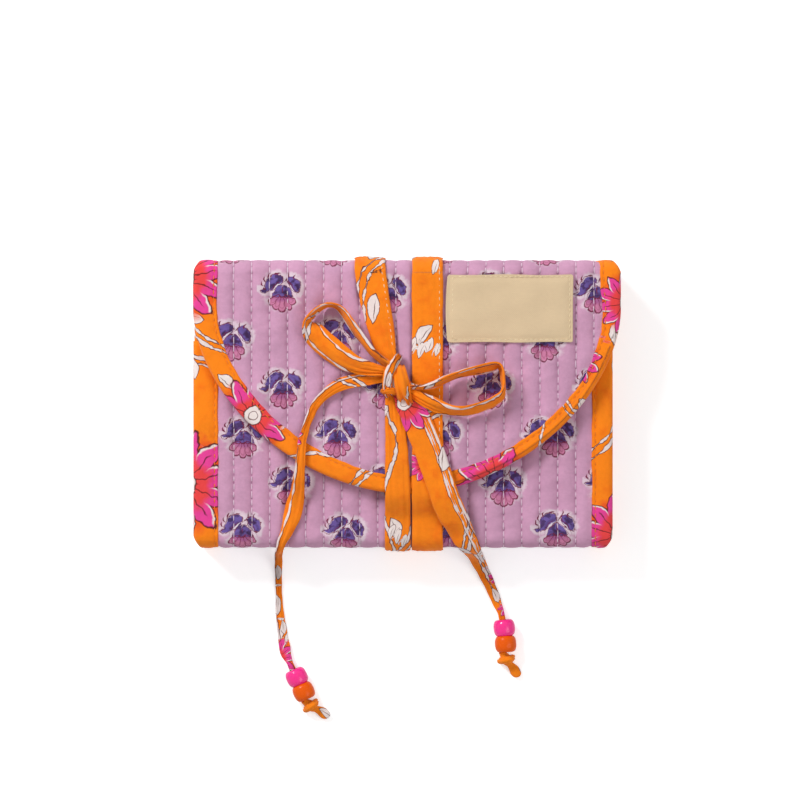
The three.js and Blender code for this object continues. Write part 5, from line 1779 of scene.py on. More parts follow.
class BindingSet:
    """The bindings of the sides, of the front panel's top edge and of the flap."""

    flap_flowers: tuple[Point, ...] = (
        (-101.0, 56.0, 1.6), (-69.7, -6.2, 1.4), (40.0, -36.5, 1.4), (99.0, 46.0, 1.1), (75.0, 21.0, 1.0),
    )
    side_flowers: dict[int, tuple[Flower, ...]] = {
        -1: (Flower(-6.0, 63.5, 1.85), Flower(8.0, 134.0), Flower(2.0, 190.0, 1.2)),
        1: (Flower(-4.5, 86.0, 1.4), Flower(7.0, 160.0, 1.1)),
    }

    def __init__(self) -> None:
        """Reads the sides' places from the frame."""
        self.edge = BoundEdge()
        left, right = corner_of("back_binding_left"), corner_of("back_binding_right")
        self.outer = {-1: left[0][0], 1: right[1][0]}
        self.width = {-1: left[1][0] - left[0][0], 1: right[1][0] - right[0][0]}

    def stations(self, start: float, end: float) -> Array:
        """Distances along the case's face, closer together round the corners."""
        evenly = np.linspace(start, end, max(2, math.ceil((end - start) / self.edge.step)))
        zones = (Zone.FRONT_CORNER, Zone.BOTTOM_CORNER, Zone.TOP_CORNER, Zone.FLAP_CORNER)
        extra = [CASE.start(zone) + np.linspace(0, CASE.radius * QUARTER, 9) for zone in zones]
        every = np.concatenate([evenly, *extra])
        every = np.unique(np.round(every[(every >= start) & (every <= end)], 2))
        return every[np.concatenate([[True], np.diff(every) > 0.25])]

    def side_rows(self, side: int, along: Array) -> tuple[tuple[Array, Array, Array], Array]:
        """One side's route, and the binding's widths, less where the corners pull it in."""
        place, out = CASE.at(along)
        pull = self.edge.corner_pull * np.abs(out[:, 0]) ** 2
        x = self.outer[side] - side * pull + (spread_right(along) if side > 0 else 0)
        route = (np.column_stack([x, place]), same((-side, 0, 0), len(along)), np.column_stack([0 * x, out]))
        return route, self.width[side] - np.abs(out[:, 0]) ** 2 * self.edge.corner_pull

    def side(self, side: int, word: str, stretch: Stretch) -> None:
        """Makes one stretch of one side's binding."""
        along = self.stations(stretch.start, stretch.end)
        route, widths = self.side_rows(side, along)
        making = Making()
        self.edge.sweep(making, route, widths, along, self.side_flowers[side], (side * 40.0, 5.0))
        piece = making.build(f"binding_{stretch.key}_{word}", "binding", "orange_thread")
        stretch.settle(piece, "printed_binding", stretch.nodes(f"binding_{word}"))

    def flap(self) -> None:
        """Makes the binding from the top fold's left end round the flap to its right end."""
        climb = self.stations(CASE.middle(Zone.TOP_WALL), CASE.start(Zone.FLAP))
        (left, left_widths), (right, right_widths) = self.side_rows(-1, climb), self.side_rows(1, climb)
        outline, out = FLAP_EDGE.outline(0.0, 170)
        band = FLAP_EDGE.band_width(np.linspace(0, 1, len(outline)))[1:-1]
        outline, out = outline[1:-1], out[1:-1]
        count = len(outline)
        level = np.full(count, CASE.flap_top)
        flat = (np.column_stack([outline, level]), np.column_stack([-out, 0 * level]), same((0, 0, 1), count))
        route = tuple(np.vstack([left[k], flat[k], right[k][::-1]]) for k in range(3))
        widths = np.concatenate([left_widths, band, right_widths[::-1]])
        along = run_length(route[0])
        spots = [Spot(x, y, CASE.flap_top, size) for x, y, size in self.flap_flowers]
        flowers = [spot.on(route[0], route[1], along) for spot in spots]
        making = Making()
        self.edge.sweep(making, route, widths, along, flowers, (0.0, 9.0))
        piece = making.build("binding_flap", "binding", "orange_thread")
        nodes = ("flap_binding", "top_fold_binding_left", "top_fold_binding_right")
        STRETCHES[-1].settle(piece, "printed_binding", nodes)

    def front_edge(self) -> None:
        """Makes the binding along the front panel's top edge."""
        low, high = corner_of("front_binding_top")
        x = np.arange(low[0] + 0.4, high[0], 2.5)
        edges = np.column_stack([x, 0 * x + high[1], 0 * x + high[2]])
        route = (edges, same((0, -1, 0), len(x)), same((0, 0, 1), len(x)))
        making = Making()
        flowers = (Flower(3.0, 40.0), Flower(6.0, 118.0))
        self.edge.sweep(making, route, 0 * x + high[1] - low[1], x - x[0], flowers, (70.0, 0.0))
        piece = making.build("binding_front_edge", "binding", "orange_thread")
        settle(piece, ["front_binding_top"], "front")

    def make(self) -> None:
        """Makes every binding."""
        for side, word in ((-1, "left"), (1, "right")):
            for stretch in STRETCHES[:-1]:
                self.side(side, word, stretch)
        self.flap()
        self.front_edge()


@dataclass
class RibbonCloth:
    """The flat printed ribbon: how thick it is, and how it creases."""

    thickness: float = 0.9
    full_width: float = 13.8
    across_points: int = 15
    crease: float = 0.22
    gather: float = 0.11
    bias: float = 0.5

    def sweep(
        self,
        making: Making,
        places: Array,
        across: Array,
        widths: Array,
        arches: Array,
        spots: Sequence[Spot] = (),
        origin: Pair = (0.0, 0.0),
        seed: int = 1,
        turn: float | None = None,
        lines_at: Sequence[float] = (),
    ) -> Array:
        """Adds ribbon along a route.

        Args:
            making: The mesh it joins.
            places: The middle of the ribbon.
            across: The direction of its width.
            widths: Its width.
            arches: How far its middle stands up out of the plane of its edges.
            spots: Where flowers are seen on it.
            origin: Where on the print it starts.
            seed: Which creases it has.
            turn: The angle between the ribbon and its print, if it isn't the usual one.
            lines_at: How far from its middle white lines run.

        Returns:
            The directions out of its face.
        """
        travel = unit(np.gradient(places, axis=0))
        across = unit(across - travel * (across * travel).sum(-1, keepdims=True))
        out = np.cross(across, travel)
        along = run_length(places)[:, None]
        share = np.linspace(-1, 1, self.across_points)
        share = np.sign(share) * np.abs(share) ** 0.85
        flat_u = share * self.full_width / 2
        depth = self.crease + self.gather * np.clip(self.full_width - widths, 0, 8)[:, None]
        lengthwise = ripple(flat_u[None] * 3.2, along * 0.16, 6.5, seed)
        slant = ripple(flat_u[None], along, 11.0, seed + 40)
        lift = (depth * lengthwise + self.crease * 0.8 * slant) * (1 - 0.5 * share**4)
        lift = lift + arches[:, None] * (1 - share**2)
        wobble = 0.18 * ripple(np.sign(share) * 9, along, 8.0, seed + 7) * np.abs(share) ** 3
        u = share * widths[:, None] / 2 + wobble
        half = self.thickness / 2 * np.sqrt(np.clip(1 - np.abs(share) ** 8, 0.05, 1))
        middle = places[:, None] + across[:, None] * u[..., None] + out[:, None] * lift[..., None]
        top, low = middle + out[:, None] * half[:, None], middle - out[:, None] * half[:, None]
        grid = np.concatenate([top, low[:, ::-1]], 1)
        far = np.broadcast_to(along, grid.shape[:2])
        flat = np.concatenate([share, share[::-1]]) * widths[:, None] / 2
        slanted = self.bias if turn is None else turn
        flowers = [spot.on(places, across, along[:, 0]) for spot in spots]
        making.tube(grid, strip_cloth(flat, far, slanted, origin, flowers, lines_at))
        return out


def leaning_ribbon(
    making: Making, cloth: RibbonCloth, stations: Rows, spacing: float = 1.2, **look: object
) -> None:
    """Adds ribbon through stations.

    Args:
        making: The mesh it joins.
        cloth: The ribbon.
        stations: The route's places, each with its width, and if they aren't 0 its lean in degrees
            from flat and its arch.
        spacing: The distance between rings.
        **look: The print's place and the creases' seed.
    """
    rows = spline([(*station, 0.0, 0.0)[:6] for station in stations], spacing)
    travel = unit(np.gradient(rows[:, :3], axis=0))
    side = unit(np.cross(travel, [0.0, 0.0, 1.0]))
    lean = np.radians(rows[:, 4:5])
    across = side * np.cos(lean) + np.cross(side, travel) * np.sin(lean)
    cloth.sweep(making, rows[:, :3], across, rows[:, 3], rows[:, 5], **look)


RIBBON_FINISHES = ("ribbon", "cream_thread", "cut")


def declare(piece: bpy.types.Object, *nodes: str, slot: str = "printed_ribbon") -> None:
    """Lets a piece ride the ribbon's body, gives it a mesh of its own, and lets it stand for its nodes."""
    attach(piece, "tie")
    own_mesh(piece)
    settle(piece, nodes)


class Tie:
    """The printed ribbon's two turns round the case, its knot and its two loops."""

    cloth: RibbonCloth = RibbonCloth()
    on_face: float = 0.8
    arch: float = 0.25
    hem: float = 1.6
    hem_pitch: float = 2.9
    hem_stitch: float = 1.8
    hem_thread: float = 0.18

    def route(self) -> Array:
        """The winding's places and widths, from the knot twice round the case and back to the knot."""
        top, front, flat = CASE.flap_top, CASE.front_top, CASE.flat_y
        width, straight, face = TURNS.width, TURNS.straight_x, CASE.flap_top + self.on_face
        climb = ((-55, front + self.on_face), (-50, front + 1.6), (-45.5, front + 4.6), (-41, top + 0.5))
        legs: list[Sequence[float]] = [
            (-4.6, 15.0, top + 3.4, 5.2), (-7.2, 20.0, top + 2.2, 6.6), (-9.4, 25.0, top + 1.2, 9.4),
            (-11.6, 34.0, face, 11.6), (-14.2, 46.0, face, 13.2), (-16.2, 57.5, face, width),
        ]

        def wind(from_x: float, to_x: float, to_width: float, layer: float) -> None:
            """Adds one turn, round the top fold, along the back and round the bottom fold."""
            legs.extend((from_x, y, z, width) for y, z in TURNS.turn(1, top, layer)[0][::-1])
            for share in (0.12, 0.3, 0.5, 0.7, 0.88):
                wide = width + (to_width - width) * share
                legs.append((from_x + (to_x - from_x) * share, flat - 2 * flat * share, layer, wide))
            legs.extend((to_x, y, z, to_width) for y, z in (*TURNS.turn(-1, front, layer)[0], *climb))

        wind(TURNS.upper_x, straight, width, TURNS.outer_layer)
        legs.extend((straight, y, face, width) for y in (-36, -25, -12, 0, 14, 30, 44, 57.5))
        wind(straight, TURNS.lower_x, TURNS.lower_width, TURNS.inner_layer)
        legs += [
            (-4.2, -34, face, 11.2), (-4.6, -20, face, 10.0), (-5.6, -6, face, 8.6),
            (-6.2, 2, top + 1.4, 7.0), (-6.6, 8, top + 2.6, 5.0),
        ]
        rows = spline(legs, 2.0)
        return rows[np.concatenate([[True], np.linalg.norm(np.diff(rows[:, :3], axis=0), axis=1) > 0.3])]

    def winding(self) -> None:
        """Makes the two turns, with the stitches along their hems."""
        rows, face, low = self.route(), CASE.flap_top + self.on_face, CASE.front_top + self.on_face
        travel = unit(np.gradient(rows[:, :3], axis=0))
        spots = (
            Spot(2.6, 26.5, face, 0.56, True), Spot(6.4, 24.0, face, 0.62, True),
            Spot(10.2, 26.5, face, 0.56, True), Spot(13.6, 24.0, face, 0.46, True),
            Spot(12.6, 61.0, face, 0.6, True), Spot(-14.8, 43.0, face, 1.0, True),
            Spot(8.0, -27.0, face, 0.6), Spot(-6.6, -57.0, low, 0.5, True),
            Spot(-3.8, -58.6, low, 0.5, True), Spot(-1.2, -60.6, low, 0.44, True),
        )
        making, arches = Making(), self.arch + 0 * rows[:, 3]
        across = same((1, 0, 0), len(rows))
        out = self.cloth.sweep(
            making, rows[:, :3], across, rows[:, 3], arches, spots, (25.0, 4.0), 3, 0.28
        )
        on_top = (rows[:, 2] > CASE.flap_top - 4) & (rows[:, 3] > 9)
        for run in (np.abs(rows[:, 0] - TURNS.straight_x) < 0.5, (rows[:, 0] < -9) & (rows[:, 1] > 24)):
            seen = on_top & run
            far = run_length(rows[seen])
            beats = np.arange(2.0, far[-1] - 1.0, self.hem_pitch)
            hem = strung(beats, far, rows[seen])
            up = 0 * beats + self.cloth.thickness / 2 + 0.02
            middles = hem[:, :3] + np.column_stack([hem[:, 3] / 2 - self.hem, 0 * beats, up])
            ups = strung(beats, far, -out[seen])
            ups *= np.sign(ups[:, 2:3] + 1e-6)
            forwards = unit(strung(beats, far, travel[seen]))
            stitches(making, middles, forwards, unit(ups), 1, self.hem_stitch, self.hem_thread)
        turns = ("top_turn_left", "top_turn_right", "bottom_turn_left", "bottom_turn_right")
        runs = ("back_outer", "back_inner", "front_straight", "front_upper", "front_lower")
        declare(making.build("ribbon_winding", *RIBBON_FINISHES), *(f"tie_{word}" for word in turns + runs))

    def loops(self) -> None:
        """Makes the bow's two loops."""
        left = (
            (-4.0, 12.8, 36.2, 4.2, 40), (-8.1, 17.0, 37.0, 5.4, 58), (-12.4, 20.6, 37.4, 6.6, 66, 0.5),
            (-16.3, 24.3, 37.4, 7.4, 68, 0.7), (-20.4, 29.7, 37.2, 8.2, 68, 0.7),
            (-24.8, 35.9, 37.0, 8.6, 68, 0.6), (-28.3, 41.0, 37.0, 8.8, 72, 0.3),
            (-31.4, 43.6, 37.0, 8.8, 78), (-35.2, 44.1, 36.9, 8.8, 80),
            (-38.8, 42.4, 36.9, 8.8, 76), (-42.0, 39.6, 37.0, 8.8, 72), (-43.8, 36.4, 37.2, 9.2, 60, 0.6),
            (-42.2, 32.8, 37.0, 10.0, 20, 1.4), (-38.6, 28.6, 36.8, 11.0, -12, 1.6),
            (-33.6, 24.2, 36.6, 11.8, -24, 1.7), (-28.0, 20.2, 36.6, 11.4, -28, 1.7),
            (-22.4, 17.2, 36.8, 9.2, -28, 1.4), (-16.4, 15.6, 37.0, 6.8, -18, 1.0),
            (-10.6, 14.4, 37.2, 4.8, 0, 0.6), (-5.0, 12.0, 36.6, 4.0),
        )
        right = (
            (-1.4, 9.2, 36.6, 4.4, 60), (3.4, 8.0, 37.2, 5.6, 84), (8.0, 7.6, 37.6, 6.8, 100),
            (12.6, 8.8, 37.8, 7.6, 108), (17.4, 11.0, 37.8, 8.2, 108), (22.6, 13.0, 37.6, 8.6, 108),
            (27.6, 14.4, 37.4, 8.8, 112), (32.8, 15.3, 37.2, 8.8, 118), (37.4, 16.5, 37.2, 8.8, 118),
            (40.6, 17.2, 37.1, 8.6, 106), (42.3, 15.0, 37.0, 8.4, 96), (42.7, 11.0, 37.0, 8.4, 94),
            (42.8, 7.0, 37.0, 8.6, 86), (41.8, 3.6, 37.0, 8.8, 68, 0.3), (38.0, 0.9, 37.0, 9.0, 60, 0.5),
            (32.4, -1.3, 37.0, 9.2, 58, 0.6), (26.0, -3.0, 37.0, 9.0, 58, 0.6),
            (20.4, -2.6, 37.0, 8.4, 62, 0.6), (15.0, -1.4, 37.0, 7.8, 46, 0.8),
            (10.0, 0.6, 37.0, 7.0, 30, 0.8), (4.6, 3.4, 36.8, 5.2, 20, 0.6), (-0.6, 7.0, 36.4, 4.2, 10),
        )
        for side, stations, print_at, seed, line in (
            ("left", left, 4.0, 11, 3.7), ("right", right, 61.0, 23, 3.2),
        ):
            making = Making()
            look = {"origin": (24.0, print_at), "seed": seed, "turn": 0.1, "lines_at": (-line, line)}
            leaning_ribbon(making, self.cloth, stations, **look)
            declare(making.build(f"bow_loop_{side}", *RIBBON_FINISHES), f"tie_bow_loop_{side}")

    def knot(self) -> None:
        """Makes the knot: a strap over the gathered ends, and a puffed fold beside it."""
        strap = (
            (-3.2, 21.8, 34.2, 2.4), (-4.4, 20.0, 36.4, 3.8, 0, 0.4), (-6.2, 17.2, 38.4, 4.8, 4, 0.7),
            (-7.8, 13.8, 39.2, 5.0, 6, 0.9), (-8.6, 10.4, 39.0, 4.8, 4, 0.9), (-8.7, 7.4, 38.0, 4.5, 0, 0.8),
            (-8.4, 5.0, 36.0, 4.2, 0, 0.5), (-7.8, 3.8, 34.2, 3.8),
        )
        wrap = (
            (-11.2, 5.0, 34.8, 2.2), (-10.4, 5.6, 37.2, 2.8, 0, 0.3), (-8.2, 6.0, 38.9, 3.0, 0, 0.5),
            (-5.8, 5.8, 38.6, 3.0, 0, 0.4), (-4.2, 5.2, 36.6, 2.6),
        )
        puff = (
            (-3.6, 17.0, 34.6, 5.0), (-3.4, 15.0, 37.4, 6.2, 0, 1.2), (-2.8, 12.0, 38.8, 6.8, 4, 1.6),
            (-2.2, 8.8, 38.9, 7.0, 6, 1.7), (-1.8, 5.6, 38.2, 6.6, 6, 1.5), (-1.4, 3.0, 36.4, 6.2, 4, 1.0),
            (-1.2, 1.8, 34.4, 6.0),
        )
        tuck = (
            (1.0, 9.8, 35.4, 2.4, 10), (0.4, 8.6, 38.2, 3.0, 20, 0.4), (0.1, 5.6, 39.0, 3.2, 20, 0.5),
            (0.6, 2.4, 38.0, 3.0, 10, 0.4), (1.6, 0.0, 35.6, 2.6),
        )
        stuffing = (
            (-5.6, 16.4, 34.8, 6.4, 0, 1.0), (-4.8, 12.6, 36.0, 8.6, 0, 1.6), (-4.2, 8.6, 36.2, 9.2, 0, 1.6),
            (-3.8, 4.6, 34.8, 7.4, 0, 1.0),
        )
        making = Making()
        for stations, spacing, seed, look in (
            (strap, 0.8, 31, {"spots": (Spot(-8.2, 11.2, 39.2, 0.5, True),), "lines_at": (-1.5, 1.5)}),
            (wrap, 0.7, 29, {}),
            (puff, 0.8, 37, {}),
            (tuck, 0.8, 41, {"spots": (Spot(-0.4, 4.6, 39.0, 0.36, True),)}),
            (stuffing, 1.0, 43, {"origin": (9.0, 51.0), "turn": 0.2}),
        ):
            plain = {"origin": (-24.0, 0.0), "turn": 0.0}
            leaning_ribbon(making, self.cloth, stations, spacing, seed=seed, **(plain | look))
        declare(making.build("knot", *RIBBON_FINISHES), "tie_knot")

    def make(self) -> None:
        """Makes the whole ribbon apart from its tails."""
        self.winding()
        self.knot()
        self.loops()


@dataclass
class Bead:
    """A pony bead: a round barrel with a wide hole."""

    radius: float = 4.8
    length: float = 7.4
    hole: float = 2.1
    around: int = 48
    belly: float = 2.0
    steepest: float = 1.18

    def add(self, making: Making, start: Array, end: Array) -> None:
        """Adds the bead between the middles of its two faces."""
        axis = unit(end - start)
        side = unit(np.cross(axis, [0.0, 0.0, 1.0]))
        up = np.cross(side, axis)
        half = self.length / 2
        outer = []
        for t in np.linspace(-self.steepest, self.steepest, 13):
            reach = self.radius - self.belly * (1 - math.cos(t)) ** 1.2
            outer.append((half * math.sin(t) / math.sin(self.steepest) * 0.94, reach))
        lip = [(half, self.radius - 1.8), (half * 0.985, self.radius - 2.2), (half * 0.93, self.hole + 0.2)]
        inner = [(half * 0.8, self.hole), (-half * 0.8, self.hole)]
        profile = outer + lip + inner + [(-x, r) for x, r in lip[::-1]]
        angle = np.arange(self.around)[:, None] * math.tau / self.around
        ring = side * np.cos(angle) + up * np.sin(angle)
        grid = np.stack([(start + end) / 2 + axis * along + ring * reach for along, reach in profile])
        making.tube(grid, grid, 0, closed=True)


@dataclass(frozen=True)
class Tail:
    """One loose end of the ribbon, threaded through two beads and knotted.

    The route has places and greatest widths. The looks are pairs of a distance in y and the width
    seen there. The beads' ends are in x and y, and the knot is its place in x and y and its turn.
    """

    side: str
    diameter: float
    print_at: float
    lines_at: tuple[float, ...]
    knot: Point
    knot_patch: float
    beads: dict[str, tuple[Pair, Pair]]
    looks: Rows
    spots: Sequence[Spot]
    route: Rows
    bead_height: float = 4.8
    threaded_width: float = 2.8
    arch: float = 0.35
    drop: Pair = (-76.0, -52.0)
    turned_below: float = -20.0
    smoothings: int = 6

    def make(self) -> None:
        rows = spline(self.route, 1.6)
        places = rows[:, :3]
        travel = unit(np.gradient(places, axis=0))
        across = np.cross(travel, [0.0, 0.0, 1.0])
        on_drop = (rows[:, 1] > self.drop[0]) & (rows[:, 1] < self.drop[1])
        across[on_drop] = [-1.0, 0.0, 0.0]
        flip = np.sign((across * [-1, 0, 0]).sum(-1, keepdims=True) + 1e-9)
        across = unit(across) * np.where(rows[:, 1:2] < self.turned_below, flip, 1)
        seen = np.interp(rows[:, 1], *np.array(self.looks[::-1]).T)
        widths = np.minimum(seen, np.maximum(rows[:, 3], self.threaded_width))
        for _ in range(self.smoothings):
            before, after = np.vstack([across[:1], across[:-1]]), np.vstack([across[1:], across[-1:]])
            across = unit(across + before + after)
        making = Making()
        cloth = RibbonCloth(thickness=1.1, crease=0.16, gather=0.05)
        look = {"origin": (self.print_at, 0.0), "seed": 51, "turn": 0.0, "lines_at": self.lines_at}
        cloth.sweep(making, places, across, widths, self.arch + 0 * widths, self.spots, **look)
        piece = making.build(f"tail_{self.side}", *RIBBON_FINISHES)
        declare(piece, f"tie_tail_{self.side}")
        others = []
        for colour, ends in self.beads.items():
            bead = Making()
            Bead().add(bead, *(np.array([*end, self.bead_height]) for end in ends))
            others.append(bead.build(f"bead_{self.side}_{colour}.visual", colour))
            declare(others[-1], f"bead_{self.side}_{colour}", slot=f"{colour}_bead")
        others.append(self.end_knot())

    def end_knot(self) -> bpy.types.Object:
        """Makes the overhand knot at the tail's end, with its cut tip."""
        ahead = np.array([math.cos(self.knot[2]), math.sin(self.knot[2])])
        beside = np.array([-ahead[1], ahead[0]])

        def placed(row: Sequence[float]) -> Sequence[float]:
            """A station, from its distances ahead of the knot's middle and beside it."""
            forward, aside, z, width, arch = row
            return (*(np.array(self.knot[:2]) + ahead * forward + beside * aside), z, width, 0.0, arch)

        thin = RibbonCloth(thickness=0.9, crease=0.12, gather=0.02, across_points=9)
        thick = RibbonCloth(thickness=2.4, crease=0.1, gather=0.0, across_points=9)
        core = (
            (-4.2, 0.0, 4.2, 2.6, 0.6), (-2.8, 0.0, 3.8, 3.2, 0.8), (-1.2, 0.0, 3.7, 4.4, 1.2),
            (1.0, 0.0, 3.5, 4.6, 1.2), (2.6, 0.0, 3.2, 3.2, 0.8),
        )
        band = (
            (-1.4, -3.0, 1.4, 2.4, 0.2), (-1.0, -2.7, 3.6, 3.0, 0.4), (-0.3, -1.1, 5.7, 3.4, 0.6),
            (0.4, 0.9, 5.9, 3.4, 0.6), (1.0, 2.6, 3.8, 3.0, 0.4), (1.2, 2.9, 1.4, 2.4, 0.2),
        )
        tip = (
            (0.4, 0.0, 3.8, 2.8, 0.3), (2.4, 0.0, 3.3, 2.9, 0.4), (4.0, 0.2, 2.4, 3.6, 0.5),
            (5.6, 0.4, 1.9, 4.6, 0.6), (7.4, 0.4, 1.8, 4.7, 0.6), (8.8, 0.3, 1.7, 3.6, 0.4),
            (9.5, 0.2, 1.6, 1.6, 0.2),
        )
        white_end = (Spot(*placed((8.6, self.knot_patch, 1.7, 0.0, 0.0))[:3], 0.7, True),)
        making = Making()
        for rows, cloth, spacing, seed, spots in (
            (core, thick, 0.7, 67, ()), (band, thin, 0.5, 61, ()), (tip, thin, 0.5, 63, white_end),
        ):
            look = {"origin": (-24.0, 0.0), "turn": 0.0, "seed": seed, "spots": spots}
            leaning_ribbon(making, cloth, [placed(row) for row in rows], spacing, **look)
        piece = making.build(f"end_knot_{self.side}", *RIBBON_FINISHES)
        declare(piece, f"tie_end_knot_{self.side}")
        return piece


TAILS = (
    Tail(
        side="left", diameter=8.0, print_at=-42.0, lines_at=(1.9,),
        knot=(-42.9, -134.8, -0.6), knot_patch=1.2,
        beads={"pink": ((-50.6, -119.0), (-47.8, -125.0)), "orange": ((-47.4, -125.6), (-44.8, -131.4))},
        looks=(
            (40, 4.4), (12.6, 4.4), (10.2, 6.2), (8, 5.6), (4, 4.2), (-7, 3.6), (-22, 3.8), (-34, 5.4),
            (-39, 6.4), (-46, 8.2), (-51, 7.4), (-58, 5.2), (-64, 3.6), (-84, 2.9), (-92, 3.6),
            (-102, 4.3), (-108, 5.2), (-113, 5.6), (-116, 3.4), (-117.5, 2.8),
        ),
        spots=(
            Spot(-54.0, -14.0, 34.0, 0.6), Spot(-57.6, -75.3, 2.0, 0.55, True),
            Spot(-58.3, -89.5, 1.0, 0.68, True), Spot(-55.4, -100.2, 1.0, 0.46, True),
            Spot(-59.0, -114.0, 3.0, 0.75),
        ),
        route=(
            (-8.4, 12.6, 36.0, 5.0), (-13.0, 11.6, 34.8, 7.5), (-18.6, 10.9, 34.2, 9.0),
            (-25.0, 10.0, 34.0, 9.5), (-31.2, 7.8, 34.0, 9.5), (-36.4, 4.2, 34.0, 9.5),
            (-40.6, -0.6, 33.9, 9.5), (-43.8, -7.4, 33.8, 10.0), (-46.2, -15.6, 33.8, 10.0),
            (-47.2, -24.9, 33.8, 10.0), (-47.8, -31.5, 32.6, 10.0), (-48.4, -37.4, 29.6, 10.0),
            (-49.6, -43.8, 27.0, 10.0), (-51.6, -51.5, 26.6, 10.0), (-54.0, -58.0, 26.5, 9.5),
            (-55.7, -61.7, 25.5, 9.2), (-56.6, -64.4, 23.0, 9.0), (-57.0, -65.7, 19.3, 8.7),
            (-57.2, -66.5, 14.3, 8.4), (-57.3, -68.0, 8.3, 8.1), (-57.4, -71.4, 3.5, 7.8),
            (-57.4, -76.0, 1.5, 7.5), (-57.3, -83.5, 1.0, 7.0), (-56.9, -92.5, 1.0, 6.5),
            (-55.7, -102.5, 1.1, 6.0), (-54.2, -110.8, 2.3, 5.0), (-52.2, -116.0, 4.8, 2.8),
            (-49.3, -122.0, 4.8, 2.8), (-46.2, -128.4, 4.8, 2.8), (-44.5, -131.8, 4.2, 2.8),
        ),
    ),
    Tail(
        side="right", diameter=11.0, print_at=-24.0, lines_at=(-2.4, -5.2),
        knot=(44.5, -114.1, -1.0), knot_patch=4.0,
        beads={"pink": ((43.2, -96.8), (43.8, -103.2)), "orange": ((43.9, -103.9), (44.3, -110.4))},
        looks=(
            (40, 7), (5.6, 7), (2, 10.5), (-8, 13), (-48, 12.6), (-58, 11), (-64, 9.4), (-68, 7.4),
            (-74, 5.6), (-86, 4.6), (-94, 2.8),
        ),
        spots=(
            Spot(-1.2, 0.9, 35.3, 1.05), Spot(35.0, -68.0, 10.0, 0.6, True), Spot(43.5, -77.0, 1.5, 0.6),
            Spot(39.9, -86.0, 1.0, 0.56, True), Spot(46.0, -91.0, 3.0, 0.45),
        ),
        route=(
            (-3.4, 5.6, 35.6, 7.0), (-0.6, 2.0, 35.2, 10.5), (4.6, -8.0, 34.8, 13.0),
            (9.6, -20.0, 34.6, 13.3), (13.4, -31.0, 34.6, 13.0), (16.6, -40.5, 34.4, 13.0),
            (19.6, -48.0, 32.2, 12.6), (22.4, -53.0, 29.9, 12.2), (24.8, -58.0, 26.8, 11.6),
            (26.8, -61.7, 25.6, 11.0), (28.3, -64.5, 23.0, 10.4), (29.2, -65.8, 19.3, 9.8),
            (30.0, -67.0, 14.3, 9.2), (31.2, -69.0, 8.3, 8.6), (32.9, -72.3, 3.9, 8.0),
            (35.6, -77.8, 1.5, 7.2), (38.6, -84.5, 1.1, 6.2), (40.6, -89.5, 2.4, 5.0),
            (42.2, -94.2, 4.8, 2.8), (43.4, -100.3, 4.8, 2.8), (44.1, -107.4, 4.8, 2.8),
            (44.3, -110.2, 4.2, 2.8),
        ),
    ),
)


@dataclass(frozen=True)
class Label:
    """The blank woven label, sewn to the flap by its folded edges."""

    corner: float = 1.2
    seam_insets: tuple[float, float, float, float] = (2.2, 1.5, 1.3, 0.8)
    thickness: float = 0.62
    stitch_pitch: float = 2.3
    bulge: float = 0.7

    def make(self) -> None:
        """Makes the cloth and its stitches."""
        low, high = corner_of("blank_label")
        near_edge = np.array([0.0, 0.3, 0.7, 1.2, 1.8])
        x, y = np.meshgrid(*[
            np.concatenate([a + near_edge, np.linspace(a + 2.6, b - 2.6, count), b - near_edge[::-1]])
            for a, b, count in ((low[0], high[0], 36), (low[1], high[1], 20))
        ])
        aside, beyond = np.minimum(x - low[0], high[0] - x), np.minimum(y - low[1], high[1] - y)
        edge = np.minimum(aside, beyond)
        round_x, round_y = (np.clip(self.corner - gap, 0, None) for gap in (aside, beyond))
        over = np.maximum(np.hypot(round_x, round_y) / self.corner, 1)
        middle, half = (low + high) / 2, (high - low) / 2
        shift_x = np.sign(middle[0] - x) * round_x * (1 - 1 / over)
        shift_y = np.sign(middle[1] - y) * round_y * (1 - 1 / over)
        bulge = self.bulge * (1 - ((y - middle[1]) / half[1]) ** 2) * smooth_share(x, low[0] + 9, low[0])
        wave = 0.25 * ripple(x, y, 24, 3) * smooth_share(edge, 4, 0)
        lift = 0.22 * ripple(x, y, 16, 77) + 0.3 * smooth_share(edge, 0, 4.5)
        lift -= 0.24 * smooth_share(np.abs(edge - 1.5), 0.8, 0)
        top = np.stack([x + shift_x - bulge + wave, y + shift_y + wave, high[2] + lift - 0.1], -1)
        making = Making()
        whole = np.ones((x.shape[0] - 1, x.shape[1] - 1), bool)
        making.layers(top, top - [0, 0, self.thickness], np.stack([x, y, 0 * x], -1), whole)
        left, right, near, far = self.seam_insets
        box = (low[0] + left, high[0] - right, low[1] + near, high[1] - far)
        sew_round(making, box, high[2] - 0.12, 1, self.stitch_pitch)
        piece = making.build("label", "label", "cream_thread")
        settle(piece, ["blank_label"], "flap")


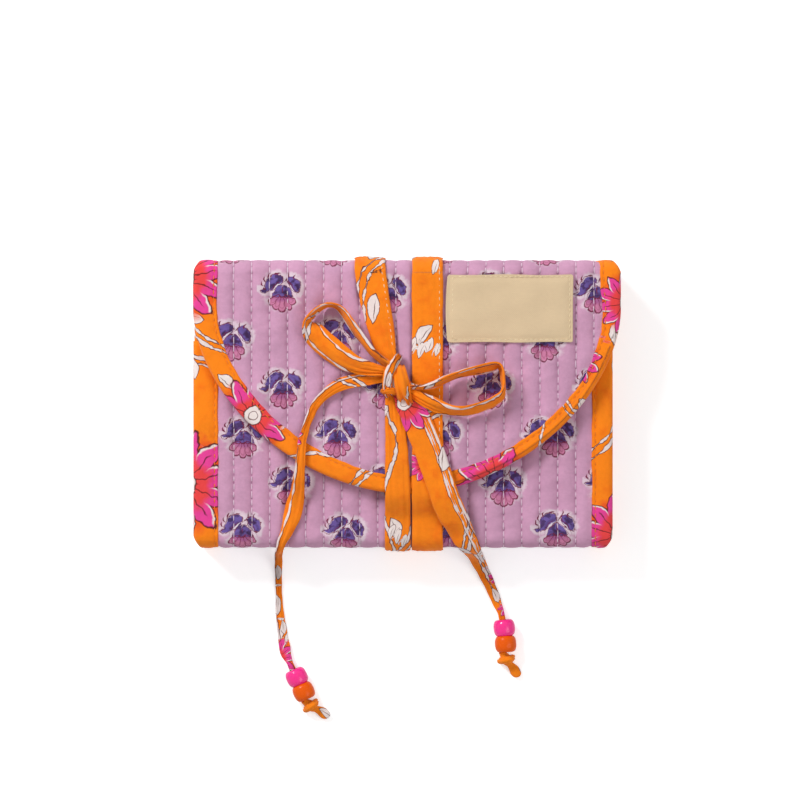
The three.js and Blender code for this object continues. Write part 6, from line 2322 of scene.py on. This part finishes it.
@dataclass
class Studio:
    """The camera straight above, as far as a long lens needs, the lamps, the white ground and the floor."""

    centre: Pair = (-3.1, 1.8)
    seen_width: float = 355.0
    lens: float = 400.0
    sensor: float = 36.0
    floor_size: float = 6.0
    key_place: Point = (-0.75, 0.8, 0.9)
    fill_place: Point = (0.9, -0.4, 1.2)
    lamp_power: float = 15.2
    fill_share: float = 0.4
    floor_glow: float = 0.43
    world_glow: float = 0.4

    def make_camera(self) -> None:
        """Puts the camera above the case."""
        camera = bpy.data.cameras.new("camera")
        camera.lens, camera.sensor_width = self.lens, self.sensor
        seen = show("camera", camera)
        height = self.seen_width * self.lens / self.sensor + CASE.flap_top
        seen.location = Vector((*self.centre, height)) * MM
        bpy.context.scene.camera = seen

    def make_lamp(self, name: str, place: Point, size: float, power: float) -> None:
        """Adds one large soft lamp that faces the case."""
        light = bpy.data.lights.new(name, "AREA")
        light.shape, light.size, light.energy = "DISK", size, power
        lamp = show(name, light)
        lamp.location = place
        lamp.rotation_euler = (-Vector(place)).to_track_quat("-Z", "Y").to_euler()

    def make_ground(self) -> None:
        """Adds the white floor, the white world and the lamps."""
        world = bpy.data.worlds.new("white")
        world.use_nodes = True
        graph = Graph(world.node_tree)
        background = world.node_tree.nodes["Background"]
        path = graph.node("LightPath", {})
        seen = graph.math("MAXIMUM", graph.out(path, "Is Camera Ray"), graph.out(path, "Is Glossy Ray"))
        graph.feed(background.inputs["Strength"], seen * (1 - self.world_glow) + self.world_glow)
        graph.feed(background.inputs["Color"], (1.0, 1.0, 1.0))
        bpy.context.scene.world = world
        mesh = bpy.data.meshes.new("floor")
        half = self.floor_size / 2
        corners = [(-half, -half, 0), (half, -half, 0), (half, half, 0), (-half, half, 0)]
        mesh.from_pydata(corners, [], [(0, 1, 2, 3)])
        material, graph = new_material("White floor")
        seen = graph.out(graph.node("LightPath", {}), "Is Camera Ray")
        graph.shade({
            "Base Color": (0.93, 0.93, 0.93),
            "Roughness": 0.9,
            "Emission Color": (1.0, 1.0, 1.0),
            "Emission Strength": seen * self.floor_glow,
        })
        mesh.materials.append(material)
        show("floor", mesh)
        self.make_lamp("key lamp", self.key_place, 0.5, self.lamp_power)
        self.make_lamp("fill lamp", self.fill_place, 1.0, self.lamp_power * self.fill_share)
        bpy.context.scene.view_settings.view_transform = "Standard"


def main() -> None:
    """Makes the studio and the organizer, and reports each piece."""
    logging.basicConfig(level=logging.INFO, format="%(name)s %(message)s")
    studio = Studio()
    studio.make_camera()
    for tail in TAILS:
        tail.make()
    QuiltedShell().make()
    Lining().make()
    BindingSet().make()
    Tie().make()
    Label().make()
    Inside().make()
    studio.make_ground()


if __name__ == "__main__":
    main()
